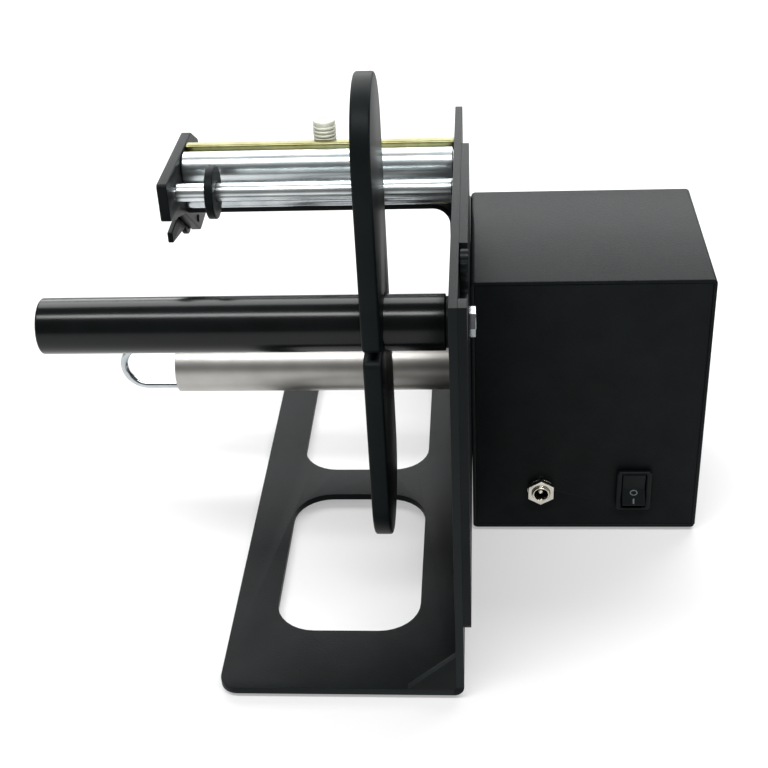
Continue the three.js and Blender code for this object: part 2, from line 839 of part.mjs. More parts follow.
function outputGear() {
  const middle = (gearboxLeft + gearboxWall + gearboxRight) / 2;
  const halfTurn = 180 / gearToothCount;
  const half = gearWidth / 2;
  const teeth = alongX(gearShape(gearToothCount, shaftRadius + seatGap), middle - half, middle + half);
  return teeth.rotate([halfTurn, 0, 0]);
}

function addDrive(machine) {
  const drive = addGroup(machine, 0, takeUpFromFront, takeUpHeight);
  addPiece(drive, 'gearbox_case', gearboxCase(), nickel());
  addPiece(drive, 'gearbox_lid', gearboxLid(), nickel());
  addPiece(drive, 'motor_can', motorCan(), brightZinc(), 0, 0, gearCentres);
  addPiece(drive, 'motor_pinion', motorPinion(), brassGear(), 0, 0, gearCentres);
  addPiece(drive, 'output_gear', outputGear(), brassGear());
  const flangeLow = uprightLeft - bushFlange - seatGap;
  const bush = turnedX([
    [flangeLow, shaftRadius + runGap],
    [flangeLow, bushFlangeRadius],
    [uprightLeft - seatGap, bushFlangeRadius],
    [uprightLeft - seatGap, bushRadius],
    [sheet, bushRadius],
    [sheet, shaftRadius + runGap],
    [flangeLow, shaftRadius + runGap],
  ]);
  addPiece(drive, 'spindle_bush', bush, brassGear());
  const shaftLow = takeUpRight - takeUpHubLength;
  const shaft = alongX(circle(shaftRadius), shaftLow, gearboxRight - gearboxWall);
  addPiece(drive, 'output_shaft', shaft, brushedSteel());
}

// Take-up spindle
function takeUpTube() {
  let solid = alongX(ring(takeUpRadius, takeUpRadius - takeUpWall), takeUpLeft, takeUpRight, fineSteps);
  const slot = clipWireRadius + runGap;
  const slotRight = takeUpRight - takeUpHubLength - clipTailGap;
  for (const side of [-1, 1]) {
    const inner = side * (clipRadiusPlace - clipWireRadius - takeUpWall);
    const outer = side * (takeUpRadius + cutOverrun);
    solid = solid.subtract(block(takeUpLeft - cutOverrun, -slot, Math.min(inner, outer), slotRight, slot,
      Math.max(inner, outer)));
  }
  return solid;
}

function takeUpHub() {
  const section = ring(takeUpRadius - takeUpWall - seatGap, shaftRadius + seatGap);
  return alongX(section, takeUpRight - takeUpHubLength, takeUpRight, fineSteps);
}

function takeUpPlug() {
  let solid = alongX(circle(takeUpRadius - takeUpWall - seatGap), takeUpLeft, takeUpLeft + takeUpPlugLength,
    fineSteps);
  const slot = clipWireRadius + runGap;
  for (const side of [-1, 1]) {
    const inner = side * (clipRadiusPlace - clipWireRadius - runGap);
    const outer = side * (takeUpRadius + cutOverrun);
    solid = solid.subtract(block(takeUpLeft - cutOverrun, -slot, Math.min(inner, outer),
      takeUpLeft + takeUpPlugLength + cutOverrun, slot, Math.max(inner, outer)));
  }
  return solid;
}

// The clip is a wire bent into a long U: two arms in the slots and a half-round loop outside
function takeUpClip() {
  const tail = takeUpRight - takeUpHubLength - 2 * clipTailGap;
  const bend = takeUpLeft - clipReach + clipRadiusPlace + clipWireRadius;
  const up = clipRadiusPlace;
  const centres = [[tail, up, 0]];
  const steps = plainSteps;
  for (let i = 0; i <= steps; i += 1) {
    const turn = Math.PI * i / steps;
    centres.push([bend - up * Math.sin(turn), up * Math.cos(turn), turn]);
  }
  centres.push([tail, -up, Math.PI]);
  const sides = smallSteps + 2;
  const positions = [];
  for (const [x, z, turn] of centres) {
    for (let k = 0; k < sides; k += 1) {
      const angle = 2 * Math.PI * k / sides;
      const out = clipWireRadius * Math.cos(angle);
      positions.push(x - out * Math.sin(turn), clipWireRadius * Math.sin(angle), z + out * Math.cos(turn));
    }
  }
  const index = [];
  for (let i = 0; i < centres.length - 1; i += 1) {
    for (let k = 0; k < sides; k += 1) {
      const a = i * sides + k;
      const b = i * sides + (k + 1) % sides;
      index.push(a, b, b + sides, a, b + sides, a + sides);
    }
  }
  const lastRing = (centres.length - 1) * sides;
  for (let k = 1; k < sides - 1; k += 1) {
    index.push(0, k + 1, k);
    index.push(lastRing, lastRing + k, lastRing + k + 1);
  }
  const geometry = new THREE.BufferGeometry();
  geometry.setAttribute('position', new THREE.Float32BufferAttribute(positions, 3));
  geometry.setIndex(index);
  return toSolid(geometry);
}

function addTakeUp(machine) {
  const spindle = addGroup(machine, 0, takeUpFromFront, takeUpHeight);
  addPiece(spindle, 'take_up_tube', takeUpTube(), brushedSteel());
  addPiece(spindle, 'take_up_hub', takeUpHub(), brushedSteel());
  addPiece(spindle, 'take_up_plug', takeUpPlug(), satinBlack());
  addPiece(spindle, 'take_up_clip', takeUpClip(), brightZinc());
}

// Supply tube, its axle and its baffle
function supplyTube() {
  const inner = supplyRadius - supplyWall;
  const edge = supplyEndRound;
  return turnedX([
    [supplyLeft, inner],
    [supplyLeft, supplyRadius - edge],
    [supplyLeft + edge, supplyRadius],
    [supplyRight, supplyRadius],
    [supplyRight, inner],
    [supplyLeft, inner],
  ], fineSteps);
}

function supplyPlug(low) {
  const outer = supplyRadius - supplyWall - seatGap;
  return alongX(ring(outer, axleRadius + seatGap), low, low + supplyPlugLength, fineSteps);
}

function supplyAxle() {
  const right = axleRight;
  const left = supplyLeft + seatGap;
  let solid = alongX(circle(axleRadius), left, right);
  const bore = boltRadius + seatGap;
  solid = solid.subtract(alongX(circle(bore), right - boltReach, right + cutOverrun));
  return solid;
}

function supplyBolt() {
  const face = washerThickness + 2 * seatGap;
  const head = alongX(hexagon(boltHeadFlats), face, face + boltHeadHeight);
  const bevel = turnedX([
    [face, 0],
    [face, boltHeadFlats],
    [face + boltHeadHeight * domeShare, boltHeadFlats * boltCornerShare],
    [face + boltHeadHeight, boltHeadFlats * boltCrownShare],
    [face + boltHeadHeight, 0],
  ]);
  const shank = alongX(circle(boltRadius), axleRight - boltShank, face + boltHeadHeight / 2);
  return head.intersect(bevel).add(shank).rotate([boltTurnDegrees, 0, 0]);
}

function baffle() {
  const w = baffleHalfWidth;
  const up = baffleUpReach - w;
  const down = baffleDownReach - w;
  const shape = new THREE.Shape();
  shape.moveTo(w, -down);
  shape.lineTo(w, up);
  shape.absarc(0, up, w, 0, Math.PI, false);
  shape.lineTo(-w, -down);
  shape.absarc(0, -down, w, Math.PI, 2 * Math.PI, false);
  const geometry = new THREE.ExtrudeGeometry(shape, {
    depth: baffleThickness - 2 * baffleEdge,
    bevelEnabled: true,
    bevelThickness: baffleEdge,
    bevelSize: baffleEdge,
    bevelOffset: -baffleEdge,
    bevelSegments: 2,
    curveSegments: plainSteps,
  });
  const right = uprightLeft - baffleFromUpright;
  const left = right - baffleThickness;
  const turnToX = new THREE.Matrix4();
  turnToX.set(0, 0, 1, left + baffleEdge, 1, 0, 0, 0, 0, 1, 0, 0, 0, 0, 0, 1);
  geometry.applyMatrix4(turnToX);
  let solid = toSolid(geometry);
  const cutLow = left - cutOverrun;
  const cutHigh = right + cutOverrun;
  solid = solid.subtract(alongX(circle(supplyRadius + runGap), cutLow, cutHigh, fineSteps));
  const half = baffleSlit / 2;
  const lip = baffleLipRadius;
  const slit = new THREE.Shape();
  slit.moveTo(0, half);
  slit.lineTo(0, -half);
  slit.lineTo(lip - w, -half);
  slit.absarc(lip - w, -half - lip, lip, Math.PI / 2, Math.PI, false);
  slit.lineTo(-w - cutOverrun, -half - lip);
  slit.lineTo(-w - cutOverrun, half + lip);
  slit.lineTo(-w, half + lip);
  slit.absarc(lip - w, half + lip, lip, Math.PI, 1.5 * Math.PI, false);
  slit.closePath();
  solid = solid.subtract(alongX(slit, cutLow, cutHigh, cornerSteps));
  return solid.rotate([baffleTiltDegrees, 0, 0]);
}

function addSupply(machine) {
  const supply = addGroup(machine, 0, supplyFromFront, supplyHeight);
  addPiece(supply, 'supply_tube', supplyTube(), glossBlack());
  addPiece(supply, 'supply_axle', supplyAxle(), brushedSteel());
  addPiece(supply, 'supply_plug_left', supplyPlug(supplyLeft + seatGap), satinBlack());
  addPiece(supply, 'supply_plug_right', supplyPlug(supplyRight - supplyPlugLength), satinBlack());
  const washer = alongX(ring(washerRadius, boltRadius + seatGap), seatGap, seatGap + washerThickness);
  addPiece(supply, 'supply_washer', washer, brightZinc());
  addPiece(supply, 'supply_bolt', supplyBolt(), brightZinc());
  addPiece(supply, 'supply_baffle', baffle(), satinBlack());
}

// Peel head
function endPlate() {
  const front = endPlateFront;
  const back = front + endPlateLength;
  const top = endPlateTop;
  const r = endPlateRadius;
  const outline = roundedOutline([
    [front, top, r / 2],
    [front, top - endPlateNoseDrop, r / 2],
    [front + endPlateSlopeRun, top - endPlateSlopeDrop, r],
    [front + endPlateHeelRun, top - endPlateHeelDrop, r],
    [back, top - endPlateBackDrop, r],
    [back, top - endPlateShoulderDrop, r],
    [front + endPlateShoulderRun, top, r],
  ]);
  let solid = alongX(outline, endPlateLeft, endPlateRight, cornerSteps);
  const bores = [
    [rollerJournalRadius + runGap, rollerFromFront, rollerHeight],
    [idlerJournalRadius + runGap, idlerFromFront, idlerHeight],
    [stayScrewRadius + seatGap, rollerFromFront, stayRodHeight],
    [leverPinRadius + runGap, leverFromFront, leverHeight],
  ];
  for (const [radius, y, z] of bores) {
    solid = solid.subtract(alongX(circle(radius, y, z), endPlateLeft - cutOverrun, endPlateRight + cutOverrun,
      smallSteps));
  }
  return solid;
}

function journalRod(radius, journal) {
  const left = endPlateRight + rollerEndGap;
  const right = uprightLeft - rollerEndGap;
  const farLeft = endPlateRight - journalReach;
  const farRight = uprightLeft + journalReach;
  const edge = journal / 6;
  return turnedX([
    [farLeft, 0],
    [farLeft, journal],
    [left, journal],
    [left, radius - edge],
    [left + edge, radius],
    [right - edge, radius],
    [right, radius - edge],
    [right, journal],
    [farRight, journal],
    [farRight, 0],
  ], fineSteps);
}

function stayRod() {
  const rod = alongX(circle(stayRodRadius), endPlateRight + seatGap, uprightLeft - seatGap);
  const clear = circle(stayScrewRadius + seatGap);
  const bore = alongX(clear, endPlateRight - cutOverrun, endPlateRight + stayScrewBore, smallSteps);
  return rod.subtract(bore);
}

function stayScrew() {
  const face = endPlateLeft - seatGap;
  return turnedX([
    [face - stayScrewHead, 0],
    [face - stayScrewHead, stayScrewHeadRadius * domeShare],
    [face - stayScrewHead / 2, stayScrewHeadRadius],
    [face, stayScrewHeadRadius],
    [face, stayScrewRadius],
    [endPlateRight + stayScrewDepth, stayScrewRadius],
    [endPlateRight + stayScrewDepth, 0],
  ], smallSteps);
}

// A sheet under the rods, bent down at the upright leg and carrying the sensor in a long slot
function stayPlate() {
  const left = endPlateRight + seatGap;
  const right = uprightLeft - seatGap;
  const low = stayPlateTop - stayFlange;
  const section = roundedOutline([
    [left, stayPlateTop - staySheet, 0],
    [left, stayPlateTop, 0],
    [right - staySheet, stayPlateTop, 0],
    [right, stayPlateTop, 0],
    [right, low, 0],
    [right - staySheet, low, 0],
    [right - staySheet, stayPlateTop - staySheet, stayBend],
  ]);
  const front = rollerFromFront;
  let solid = alongY(section, front, front + stayPlateDepth, cornerSteps);
  const half = sensorRadius + runGap;
  const slot = roundedRectangle(sensorX - sensorTravel - half, sensorY - half, sensorX + sensorTravel + half,
    sensorY + half, half - seatGap);
  solid = solid.subtract(alongZ(slot, low - cutOverrun, stayPlateTop + cutOverrun, smallSteps));
  return solid;
}

function guideCollar() {
  const section = ring(collarRadius, idlerRadius + runGap);
  return alongX(section, -collarThickness / 2, collarThickness / 2, fineSteps);
}

// The lever is drawn about its pivot: a flat bar outside the end plate, on a pin through the plate
function releaseLever() {
  const right = endPlateLeft - runGap;
  const left = right - leverThickness;
  const tip = leverTipRadius;
  const arm = roundedOutline([
    [-leverReach, leverTipLow, tip],
    [0, -leverHeelDrop, 0],
    [0, leverHubRadius - seatGap, 0],
    [-leverKneeRun, leverKneeHeight, tip],
    [-leverReach, leverTipHigh, tip],
  ]);
  const hub = alongX(circle(leverHubRadius), left, right);
  const pinRight = endPlateRight + leverPinReach;
  const pin = alongX(circle(leverPinRadius), right - leverThickness / 2, pinRight, smallSteps);
  return hub.add(alongX(arm, left, right, cornerSteps)).add(pin);
}

function sensorBarrel() {
  const low = sensorTop - sensorLength;
  const profile = [[low, 0], [low, sensorRadius - sensorThreadDepth]];
  const count = Math.floor((sensorLength - 2 * sensorChamfer) / sensorThreadPitch);
  const start = low + sensorChamfer;
  for (let i = 0; i < count; i += 1) {
    profile.push([start + i * sensorThreadPitch, sensorRadius - sensorThreadDepth]);
    profile.push([start + (i + 0.5) * sensorThreadPitch, sensorRadius]);
  }
  profile.push([sensorTop - sensorChamfer, sensorRadius - sensorThreadDepth]);
  profile.push([sensorTop, sensorRadius - sensorThreadDepth - sensorChamfer]);
  profile.push([sensorTop, 0]);
  return turnedZ(profile, smallSteps);
}

function sensorNut(low) {
  const shape = hexagon(sensorNutFlats);
  shape.holes.push(circle(sensorRadius + seatGap));
  return alongZ(shape, low, low + sensorNutThickness);
}

function addPeelHead(machine) {
  const head = addGroup(machine, 0, 0, 0);
  addPiece(head, 'peel_end_plate', endPlate(), blackCoat());
  const barRight = uprightLeft - seatGap;
  const bar = block(endPlateRight + seatGap, 0, -peelBarHeight, barRight, peelBarDepth, 0);
  addPiece(head, 'peel_bar', bar, yellowZinc(), 0, peelBarFront, peelBarTop);
  addPiece(head, 'peel_roller', journalRod(rollerRadius, rollerJournalRadius), brightChrome(), 0,
    rollerFromFront, rollerHeight);
  addPiece(head, 'idler_rod', journalRod(idlerRadius, idlerJournalRadius), brightChrome(), 0, idlerFromFront,
    idlerHeight);
  const collarX = endPlateRight + collarFromEndPlate;
  addPiece(head, 'guide_collar', guideCollar(), satinBlack(), collarX, idlerFromFront, idlerHeight);
  addPiece(head, 'stay_rod', stayRod(), brightZinc(), 0, rollerFromFront, stayRodHeight);
  addPiece(head, 'stay_screw', stayScrew(), brightZinc(), 0, rollerFromFront, stayRodHeight);
  addPiece(head, 'stay_plate', stayPlate(), blackCoat());
  addPiece(head, 'release_lever', releaseLever(), satinBlack(), 0, leverFromFront, leverHeight);
  addPiece(head, 'sensor_barrel', sensorBarrel(), whitePlastic(), sensorX, sensorY, 0);
  addPiece(head, 'sensor_nut_top', sensorNut(stayPlateTop + seatGap), brightZinc(), sensorX, sensorY, 0);
  const lowNut = stayPlateTop - staySheet - seatGap - sensorNutThickness;
  addPiece(head, 'sensor_nut_low', sensorNut(lowNut), brightZinc(), sensorX, sensorY, 0);
}

// Tension knob
function tensionKnob() {
  let solid = alongX(circle(knobRadius), runGap, runGap + knobThickness, fineSteps);
  for (let i = 0; i < knobFluteCount; i += 1) {
    const angle = 2 * Math.PI * i / knobFluteCount;
    const flute = circle(knobFluteRadius, knobRadius * Math.cos(angle), knobRadius * Math.sin(angle));
    solid = solid.subtract(alongX(flute, 0, runGap + knobThickness + cutOverrun,
      fluteSteps));
  }
  const screw = alongX(circle(knobScrewRadius), uprightLeft - knobScrewReach, runGap + knobThickness / 2,
    smallSteps);
  return solid.add(screw);
}

// The machine stands with its origin at the middle of its footprint
const machine = new THREE.Group();
machine.position.set(-centreX, -centreY, 0);
addBase(machine);
addBox(machine);
addDrive(machine);
addTakeUp(machine);
addSupply(machine);
addPeelHead(machine);
addPiece(machine, 'tension_knob', tensionKnob(), satinBlack(), 0, knobFromFront, knobZ);

const group = new THREE.Group();
group.add(machine);

export default group;
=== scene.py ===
"""The looks of a desk label dispenser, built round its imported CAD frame.

Lengths are millimetres in the frame's own axes until a mesh is made, and metres in the scene.
"""

import logging
import math
from collections.abc import Sequence
from dataclasses import dataclass
from enum import Enum

import bmesh
import bpy
from mathutils import Matrix, Vector


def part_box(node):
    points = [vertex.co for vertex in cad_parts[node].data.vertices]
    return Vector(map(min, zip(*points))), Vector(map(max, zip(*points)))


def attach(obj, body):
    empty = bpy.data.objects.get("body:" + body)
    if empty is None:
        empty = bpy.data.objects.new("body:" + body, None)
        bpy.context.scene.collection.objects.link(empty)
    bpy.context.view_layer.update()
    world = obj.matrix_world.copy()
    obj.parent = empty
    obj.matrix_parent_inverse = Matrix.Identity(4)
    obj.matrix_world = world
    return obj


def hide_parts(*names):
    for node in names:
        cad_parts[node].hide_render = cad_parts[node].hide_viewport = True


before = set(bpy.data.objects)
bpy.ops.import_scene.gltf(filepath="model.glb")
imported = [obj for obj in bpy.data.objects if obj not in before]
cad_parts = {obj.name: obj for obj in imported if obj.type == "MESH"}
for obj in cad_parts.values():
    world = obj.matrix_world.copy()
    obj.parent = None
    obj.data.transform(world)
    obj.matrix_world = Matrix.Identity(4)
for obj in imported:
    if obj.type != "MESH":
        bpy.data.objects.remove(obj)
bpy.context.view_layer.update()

MM = 0.001

# Meshes: points closer than WELD are one, and edges flatter than SMOOTH_DEGREES are shaded smooth
WELD = MM / 1000
SMOOTH_DEGREES = 32
# Facets round a large piece, a middling one and a small one, in the arc of a corner, and in a broken edge
ROUND_STEPS = 96
HALF_STEPS = ROUND_STEPS // 2
THIRD_STEPS = ROUND_STEPS // 3
CORNER_STEPS = 8
EDGE_ROUNDS = 2
# SEAM is the room between two fitted pieces and the ease of a small edge. HAIR keeps two faces out of one
# plane. A turned radius under ON_AXIS is a point on the axis
SEAM = 0.1
HAIR = 0.02
ON_AXIS = 0.01

# Noise settings that all finishes share, and the spans of noise and of edge sharpness that they use; the edge
# span sets where a paler highlight is painted along edges
FINE_DETAIL = 3.0
FINE_ROUGHNESS = 0.55
BROAD_DETAIL = 4.0
MOTTLE_SPAN = (0.35, 0.65)
EDGE_HIGHLIGHT_SPAN = (0.52, 0.62)
LEAST_ROUGHNESS = 0.02
# Sockets of a Mix node that mixes colours: share, first colour, second colour, and the result
MIX_SHARE, MIX_FIRST, MIX_SECOND, MIX_RESULT = 0, 6, 7, 2

Point = tuple[float, float]
Corner = tuple[float, float, float]

log = logging.getLogger("label_dispenser")


class Axis(Enum):
    """The way a plate's thickness or a turned piece's axis runs."""

    X = Matrix(((0, 0, 1, 0), (1, 0, 0, 0), (0, 1, 0, 0), (0, 0, 0, 1)))
    Y = Matrix(((1, 0, 0, 0), (0, 0, -1, 0), (0, 1, 0, 0), (0, 0, 0, 1)))
    Z = Matrix.Identity(4)


def linear(hex_colour: str) -> tuple[float, float, float, float]:
    """Turns an sRGB hex colour to the linear one that a shader takes.

    Args:
        hex_colour: The colour as "#rrggbb".

    Returns:
        Red, green, blue and an alpha of 1, linear.
    """
    shares = [int(hex_colour[i : i + 2], 16) / 255 for i in (1, 3, 5)]
    parts = [s / 12.92 if s <= 0.04045 else ((s + 0.055) / 1.055) ** 2.4 for s in shares]
    return (parts[0], parts[1], parts[2], 1.0)


def bare_tree(owner: bpy.types.Material | bpy.types.World) -> bpy.types.NodeTree:
    """Empties the node tree of a new material or world.

    Args:
        owner: The material or world.

    Returns:
        Its tree, without nodes.
    """
    owner.use_nodes = True
    owner.node_tree.nodes.clear()
    return owner.node_tree


def add_node(
    tree: bpy.types.NodeTree,
    kind: str,
    settings: dict | None = None,
    values: dict | None = None,
    links: dict | None = None,
) -> bpy.types.Node:
    """Adds one node with its settings, socket values and incoming links.

    Args:
        tree: The node tree of a material or the world.
        kind: The node's type name.
        settings: Properties of the node by name.
        values: Plain values of its input sockets, by name or number.
        links: Output sockets that feed its inputs, by input name or number.

    Returns:
        The new node.
    """
    node = tree.nodes.new(kind)
    for name, value in (settings or {}).items():
        setattr(node, name, value)
    for name, value in (values or {}).items():
        node.inputs[name].default_value = value
    for name, source in (links or {}).items():
        tree.links.new(source, node.inputs[name])
    return node


@dataclass(frozen=True)
class Finish:
    """A surface finish: its colours, its gloss and the size of its grain in millimetres."""

    name: str
    slot: str
    colour: str
    mottle: str
    roughness: float
    roughness_spread: float
    grain: tuple[float, float, float]
    grain_depth: float
    mottle_size: float = 14.0
    metallic: float = 0.0
    specular: float = 0.5
    # A paler tone painted along sharp edges as a highlight, and its strongest share there
    edge_highlight_colour: str = ""
    edge_highlight_share: float = 0.0

    def material(self) -> bpy.types.Material:
        """Makes the material once and gives the same one after that.

        Returns:
            The finish as a node material.
        """
        known = bpy.data.materials.get(self.name)
        if known:
            return known
        material = bpy.data.materials.new(self.name)
        tree = bare_tree(material)
        place = add_node(tree, "ShaderNodeTexCoord").outputs["Object"]
        stretch = [1 / (size * MM) for size in self.grain]
        fine_place = add_node(tree, "ShaderNodeMapping", values={"Scale": stretch}, links={"Vector": place})
        fine = add_node(
            tree,
            "ShaderNodeTexNoise",
            values={"Scale": 1.0, "Detail": FINE_DETAIL, "Roughness": FINE_ROUGHNESS},
            links={"Vector": fine_place.outputs["Vector"]},
        ).outputs["Fac"]
        least = max(LEAST_ROUGHNESS, self.roughness - self.roughness_spread)
        most = self.roughness + self.roughness_spread
        rough = add_node(
            tree, "ShaderNodeMapRange", values={"To Min": least, "To Max": most}, links={"Value": fine}
        )
        relief = {"Strength": 1.0, "Distance": self.grain_depth * MM}
        bump = add_node(tree, "ShaderNodeBump", values=relief, links={"Height": fine})
        shader = add_node(
            tree,
            "ShaderNodeBsdfPrincipled",
            values={"Metallic": self.metallic, "Specular IOR Level": self.specular},
            links={
                "Base Color": self.colours(tree, place),
                "Roughness": rough.outputs["Result"],
                "Normal": bump.outputs["Normal"],
            },
        )
        add_node(tree, "ShaderNodeOutputMaterial", links={"Surface": shader.outputs["BSDF"]})
        return material

    def colours(self, tree: bpy.types.NodeTree, place: bpy.types.NodeSocket) -> bpy.types.NodeSocket:
        """Mixes the finish's two tones, and a paler tone painted along its edges as a highlight if it has
        one.

        Args:
            tree: The material's node tree.
            place: The output socket that carries the place on the object.

        Returns:
            The output socket that carries the colour.
        """
        size = {"Scale": 1 / (self.mottle_size * MM), "Detail": BROAD_DETAIL}
        broad = add_node(tree, "ShaderNodeTexNoise", values=size, links={"Vector": place})
        span = dict(zip(("From Min", "From Max"), MOTTLE_SPAN))
        share = add_node(tree, "ShaderNodeMapRange", values=span, links={"Value": broad.outputs["Fac"]})
        tones = {MIX_FIRST: linear(self.colour), MIX_SECOND: linear(self.mottle)}
        colour_mix = {"data_type": "RGBA"}
        both = add_node(tree, "ShaderNodeMix", colour_mix, tones, {MIX_SHARE: share.outputs["Result"]})
        if not self.edge_highlight_colour:
            return both.outputs[MIX_RESULT]
        # Painted highlight: edges, found by their pointiness, are mixed towards the paler edge tone
        shape = add_node(tree, "ShaderNodeNewGeometry")
        span = {"From Min": EDGE_HIGHLIGHT_SPAN[0], "From Max": EDGE_HIGHLIGHT_SPAN[1], "To Max": self.edge_highlight_share}
        edge = add_node(tree, "ShaderNodeMapRange", values=span, links={"Value": shape.outputs["Pointiness"]})
        feeds = {MIX_SHARE: edge.outputs["Result"], MIX_FIRST: both.outputs[MIX_RESULT]}
        edge_lit = add_node(tree, "ShaderNodeMix", colour_mix, {MIX_SECOND: linear(self.edge_highlight_colour)}, feeds)
        return edge_lit.outputs[MIX_RESULT]


# In the photograph's view a pixel covers about half a millimetre. A grain under that only softens the gloss
# and keeps about its real size, except where a comment says that it is drawn coarser.

# Baked powder on steel sheet: a fine orange peel breaks every reflection, and thin edges are painted a little
# paler as a highlight.
# The real grain is near 0.3 mm, too fine for this distance, so it is drawn at 0.8 mm
POWDER_COAT = Finish(
    name="steel_sheet_powder_coated_black",
    slot="black_coat",
    colour="#0b0f10",
    mottle="#0f1314",
    roughness=0.42,
    roughness_spread=0.07,
    grain=(0.8, 0.8, 0.8),
    grain_depth=0.07,
    specular=0.07,
    edge_highlight_colour="#2a2e2f",
    edge_highlight_share=0.5,
)
# Extruded and polished ABS: glossy streaks along the tube, with a faint haze from handling
POLISHED_ABS = Finish(
    name="abs_tube_polished_black",
    slot="gloss_black",
    colour="#080b0b",
    mottle="#0c0f10",
    roughness=0.2,
    roughness_spread=0.03,
    grain=(40.0, 3.0, 3.0),
    grain_depth=0.0015,
    specular=0.24,
)
# Moulded nylon: an even satin with a fine spark-eroded grain, and edges painted a little paler as a highlight
MOULDED_NYLON = Finish(
    name="nylon_moulded_black",
    slot="satin_black",
    colour="#0d1212",
    mottle="#111617",
    roughness=0.42,
    roughness_spread=0.06,
    grain=(0.35, 0.35, 0.35),
    grain_depth=0.012,
    specular=0.06,
    edge_highlight_colour="#1e2323",
    edge_highlight_share=0.4,
)
# Moulded polycarbonate: the switch has a closer grain than the nylon pieces and looks flatter
MOULDED_SWITCH = Finish(
    name="polycarbonate_moulded_black",
    slot="satin_black",
    colour="#090e0f",
    mottle="#0c1112",
    roughness=0.5,
    roughness_spread=0.04,
    grain=(0.25, 0.25, 0.25),
    grain_depth=0.01,
    specular=0.14,
)
# Stainless tube polished on a lathe: rings round it blur the reflections along its length.
# The tool's real feed is near 0.1 mm, too fine for this distance, so the rings are drawn at 0.4 mm
TURNED_STAINLESS = Finish(
    name="stainless_tube_lathe_polished",
    slot="brushed_steel",
    colour="#b0aeaa",
    mottle="#a6a4a0",
    roughness=0.4,
    roughness_spread=0.03,
    grain=(0.4, 9.0, 9.0),
    grain_depth=0.001,
    metallic=1.0,
)
# Ground rod with hard chrome: soft bright bands along its length, from the fine grinding lines
CHROMED_ROD = Finish(
    name="steel_rod_ground_chromed",
    slot="chrome",
    colour="#dae0e1",
    mottle="#c0c8ca",
    roughness=0.3,
    roughness_spread=0.08,
    grain=(40.0, 0.5, 0.5),
    grain_depth=0.003,
    metallic=1.0,
)
# Drawn steel with bright zinc: bluish, with lengthwise die lines
ZINC_PLATED = Finish(
    name="steel_zinc_plated_bright",
    slot="bright_zinc",
    colour="#bfc4c6",
    mottle="#abb2b6",
    roughness=0.2,
    roughness_spread=0.06,
    grain=(14.0, 0.5, 0.5),
    grain_depth=0.005,
    mottle_size=6.0,
    metallic=1.0,
)
# Zinc with yellow chromate: a greenish gold that shifts in patches
YELLOW_CHROMATE = Finish(
    name="steel_bar_yellow_chromated",
    slot="yellow_zinc",
    colour="#858560",
    mottle="#726f49",
    roughness=0.32,
    roughness_spread=0.05,
    grain=(16.0, 0.8, 0.8),
    grain_depth=0.0015,
    mottle_size=9.0,
    metallic=1.0,
)
# Nickel over brass: warm silver with rounded reflections
NICKEL_PLATED = Finish(
    name="brass_nickel_plated",
    slot="nickel",
    colour="#e3e0d6",
    mottle="#d4d0c4",
    roughness=0.18,
    roughness_spread=0.05,
    grain=(0.6, 0.6, 0.6),
    grain_depth=0.004,
    mottle_size=4.0,
    metallic=1.0,
)
# Brass straight from the lathe: fine feed rings
TURNED_BRASS = Finish(
    name="brass_turned",
    slot="brass",
    colour="#d2b15e",
    mottle="#c29f4f",
    roughness=0.28,
    roughness_spread=0.07,
    grain=(0.3, 4.0, 4.0),
    grain_depth=0.006,
    mottle_size=8.0,
    metallic=1.0,
)
# Solder mask on glass epoxy: glossy green with a faint weave
SOLDER_MASK = Finish(
    name="circuit_board_solder_masked",
    slot="board_green",
    colour="#124a2c",
    mottle="#175436",
    roughness=0.32,
    roughness_spread=0.05,
    grain=(0.8, 0.8, 0.8),
    grain_depth=0.01,
    mottle_size=5.0,
)
# Moulded rubber: dull and dusty
MOULDED_RUBBER = Finish(
    name="rubber_moulded_black",
    slot="rubber",
    colour="#151515",
    mottle="#1f1f1e",
    roughness=0.8,
    roughness_spread=0.08,
    grain=(0.4, 0.4, 0.4),
    grain_depth=0.03,
    mottle_size=5.0,
    specular=0.3,
)
# Bead-blasted aluminium: pale, dull and slightly warm, so that its threads read by their shadows
BLASTED_ALUMINIUM = Finish(
    name="aluminium_bead_blasted",
    slot="sensor_metal",
    colour="#dedfd0",
    mottle="#d4d5c8",
    roughness=0.72,
    roughness_spread=0.06,
    grain=(0.3, 0.3, 0.3),
    grain_depth=0.008,
    mottle_size=5.0,
    metallic=0.35,
)
# White pad print so thin that the black shows through it: grey, flat and slightly chalky
PAD_PRINT = Finish(
    name="ink_pad_printed_white",
    slot="satin_black",
    colour="#636b6b",
    mottle="#5c6363",
    roughness=0.6,
    roughness_spread=0.05,
    grain=(0.3, 0.3, 0.3),
    grain_depth=0.004,
    mottle_size=2.0,
)


@dataclass(frozen=True)
class Room:
    """The box that a CAD node fills at rest, in millimetres."""

    low: Vector
    high: Vector

    @property
    def size(self) -> Vector:
        """The box's side lengths."""
        return self.high - self.low

    def across(self, axis: Axis) -> Point:
        """Gives the box's centre in the two coordinates across an axis."""
        middle = (self.low + self.high) / 2
        return tuple(value for letter, value in zip("XYZ", middle) if letter != axis.name)


def room(node: str) -> Room:
    """Gives the room of a CAD node in millimetres."""
    low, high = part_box(node)
    return Room(low=Vector(low) / MM, high=Vector(high) / MM)


def arc(centre: Point, radius: float, start: float, end: float, steps: int) -> list[Point]:
    """Gives the points of an arc from one angle to another in radians, both ends included."""
    turns = [start + (end - start) * i / steps for i in range(steps + 1)]
    return [(centre[0] + radius * math.cos(turn), centre[1] + radius * math.sin(turn)) for turn in turns]


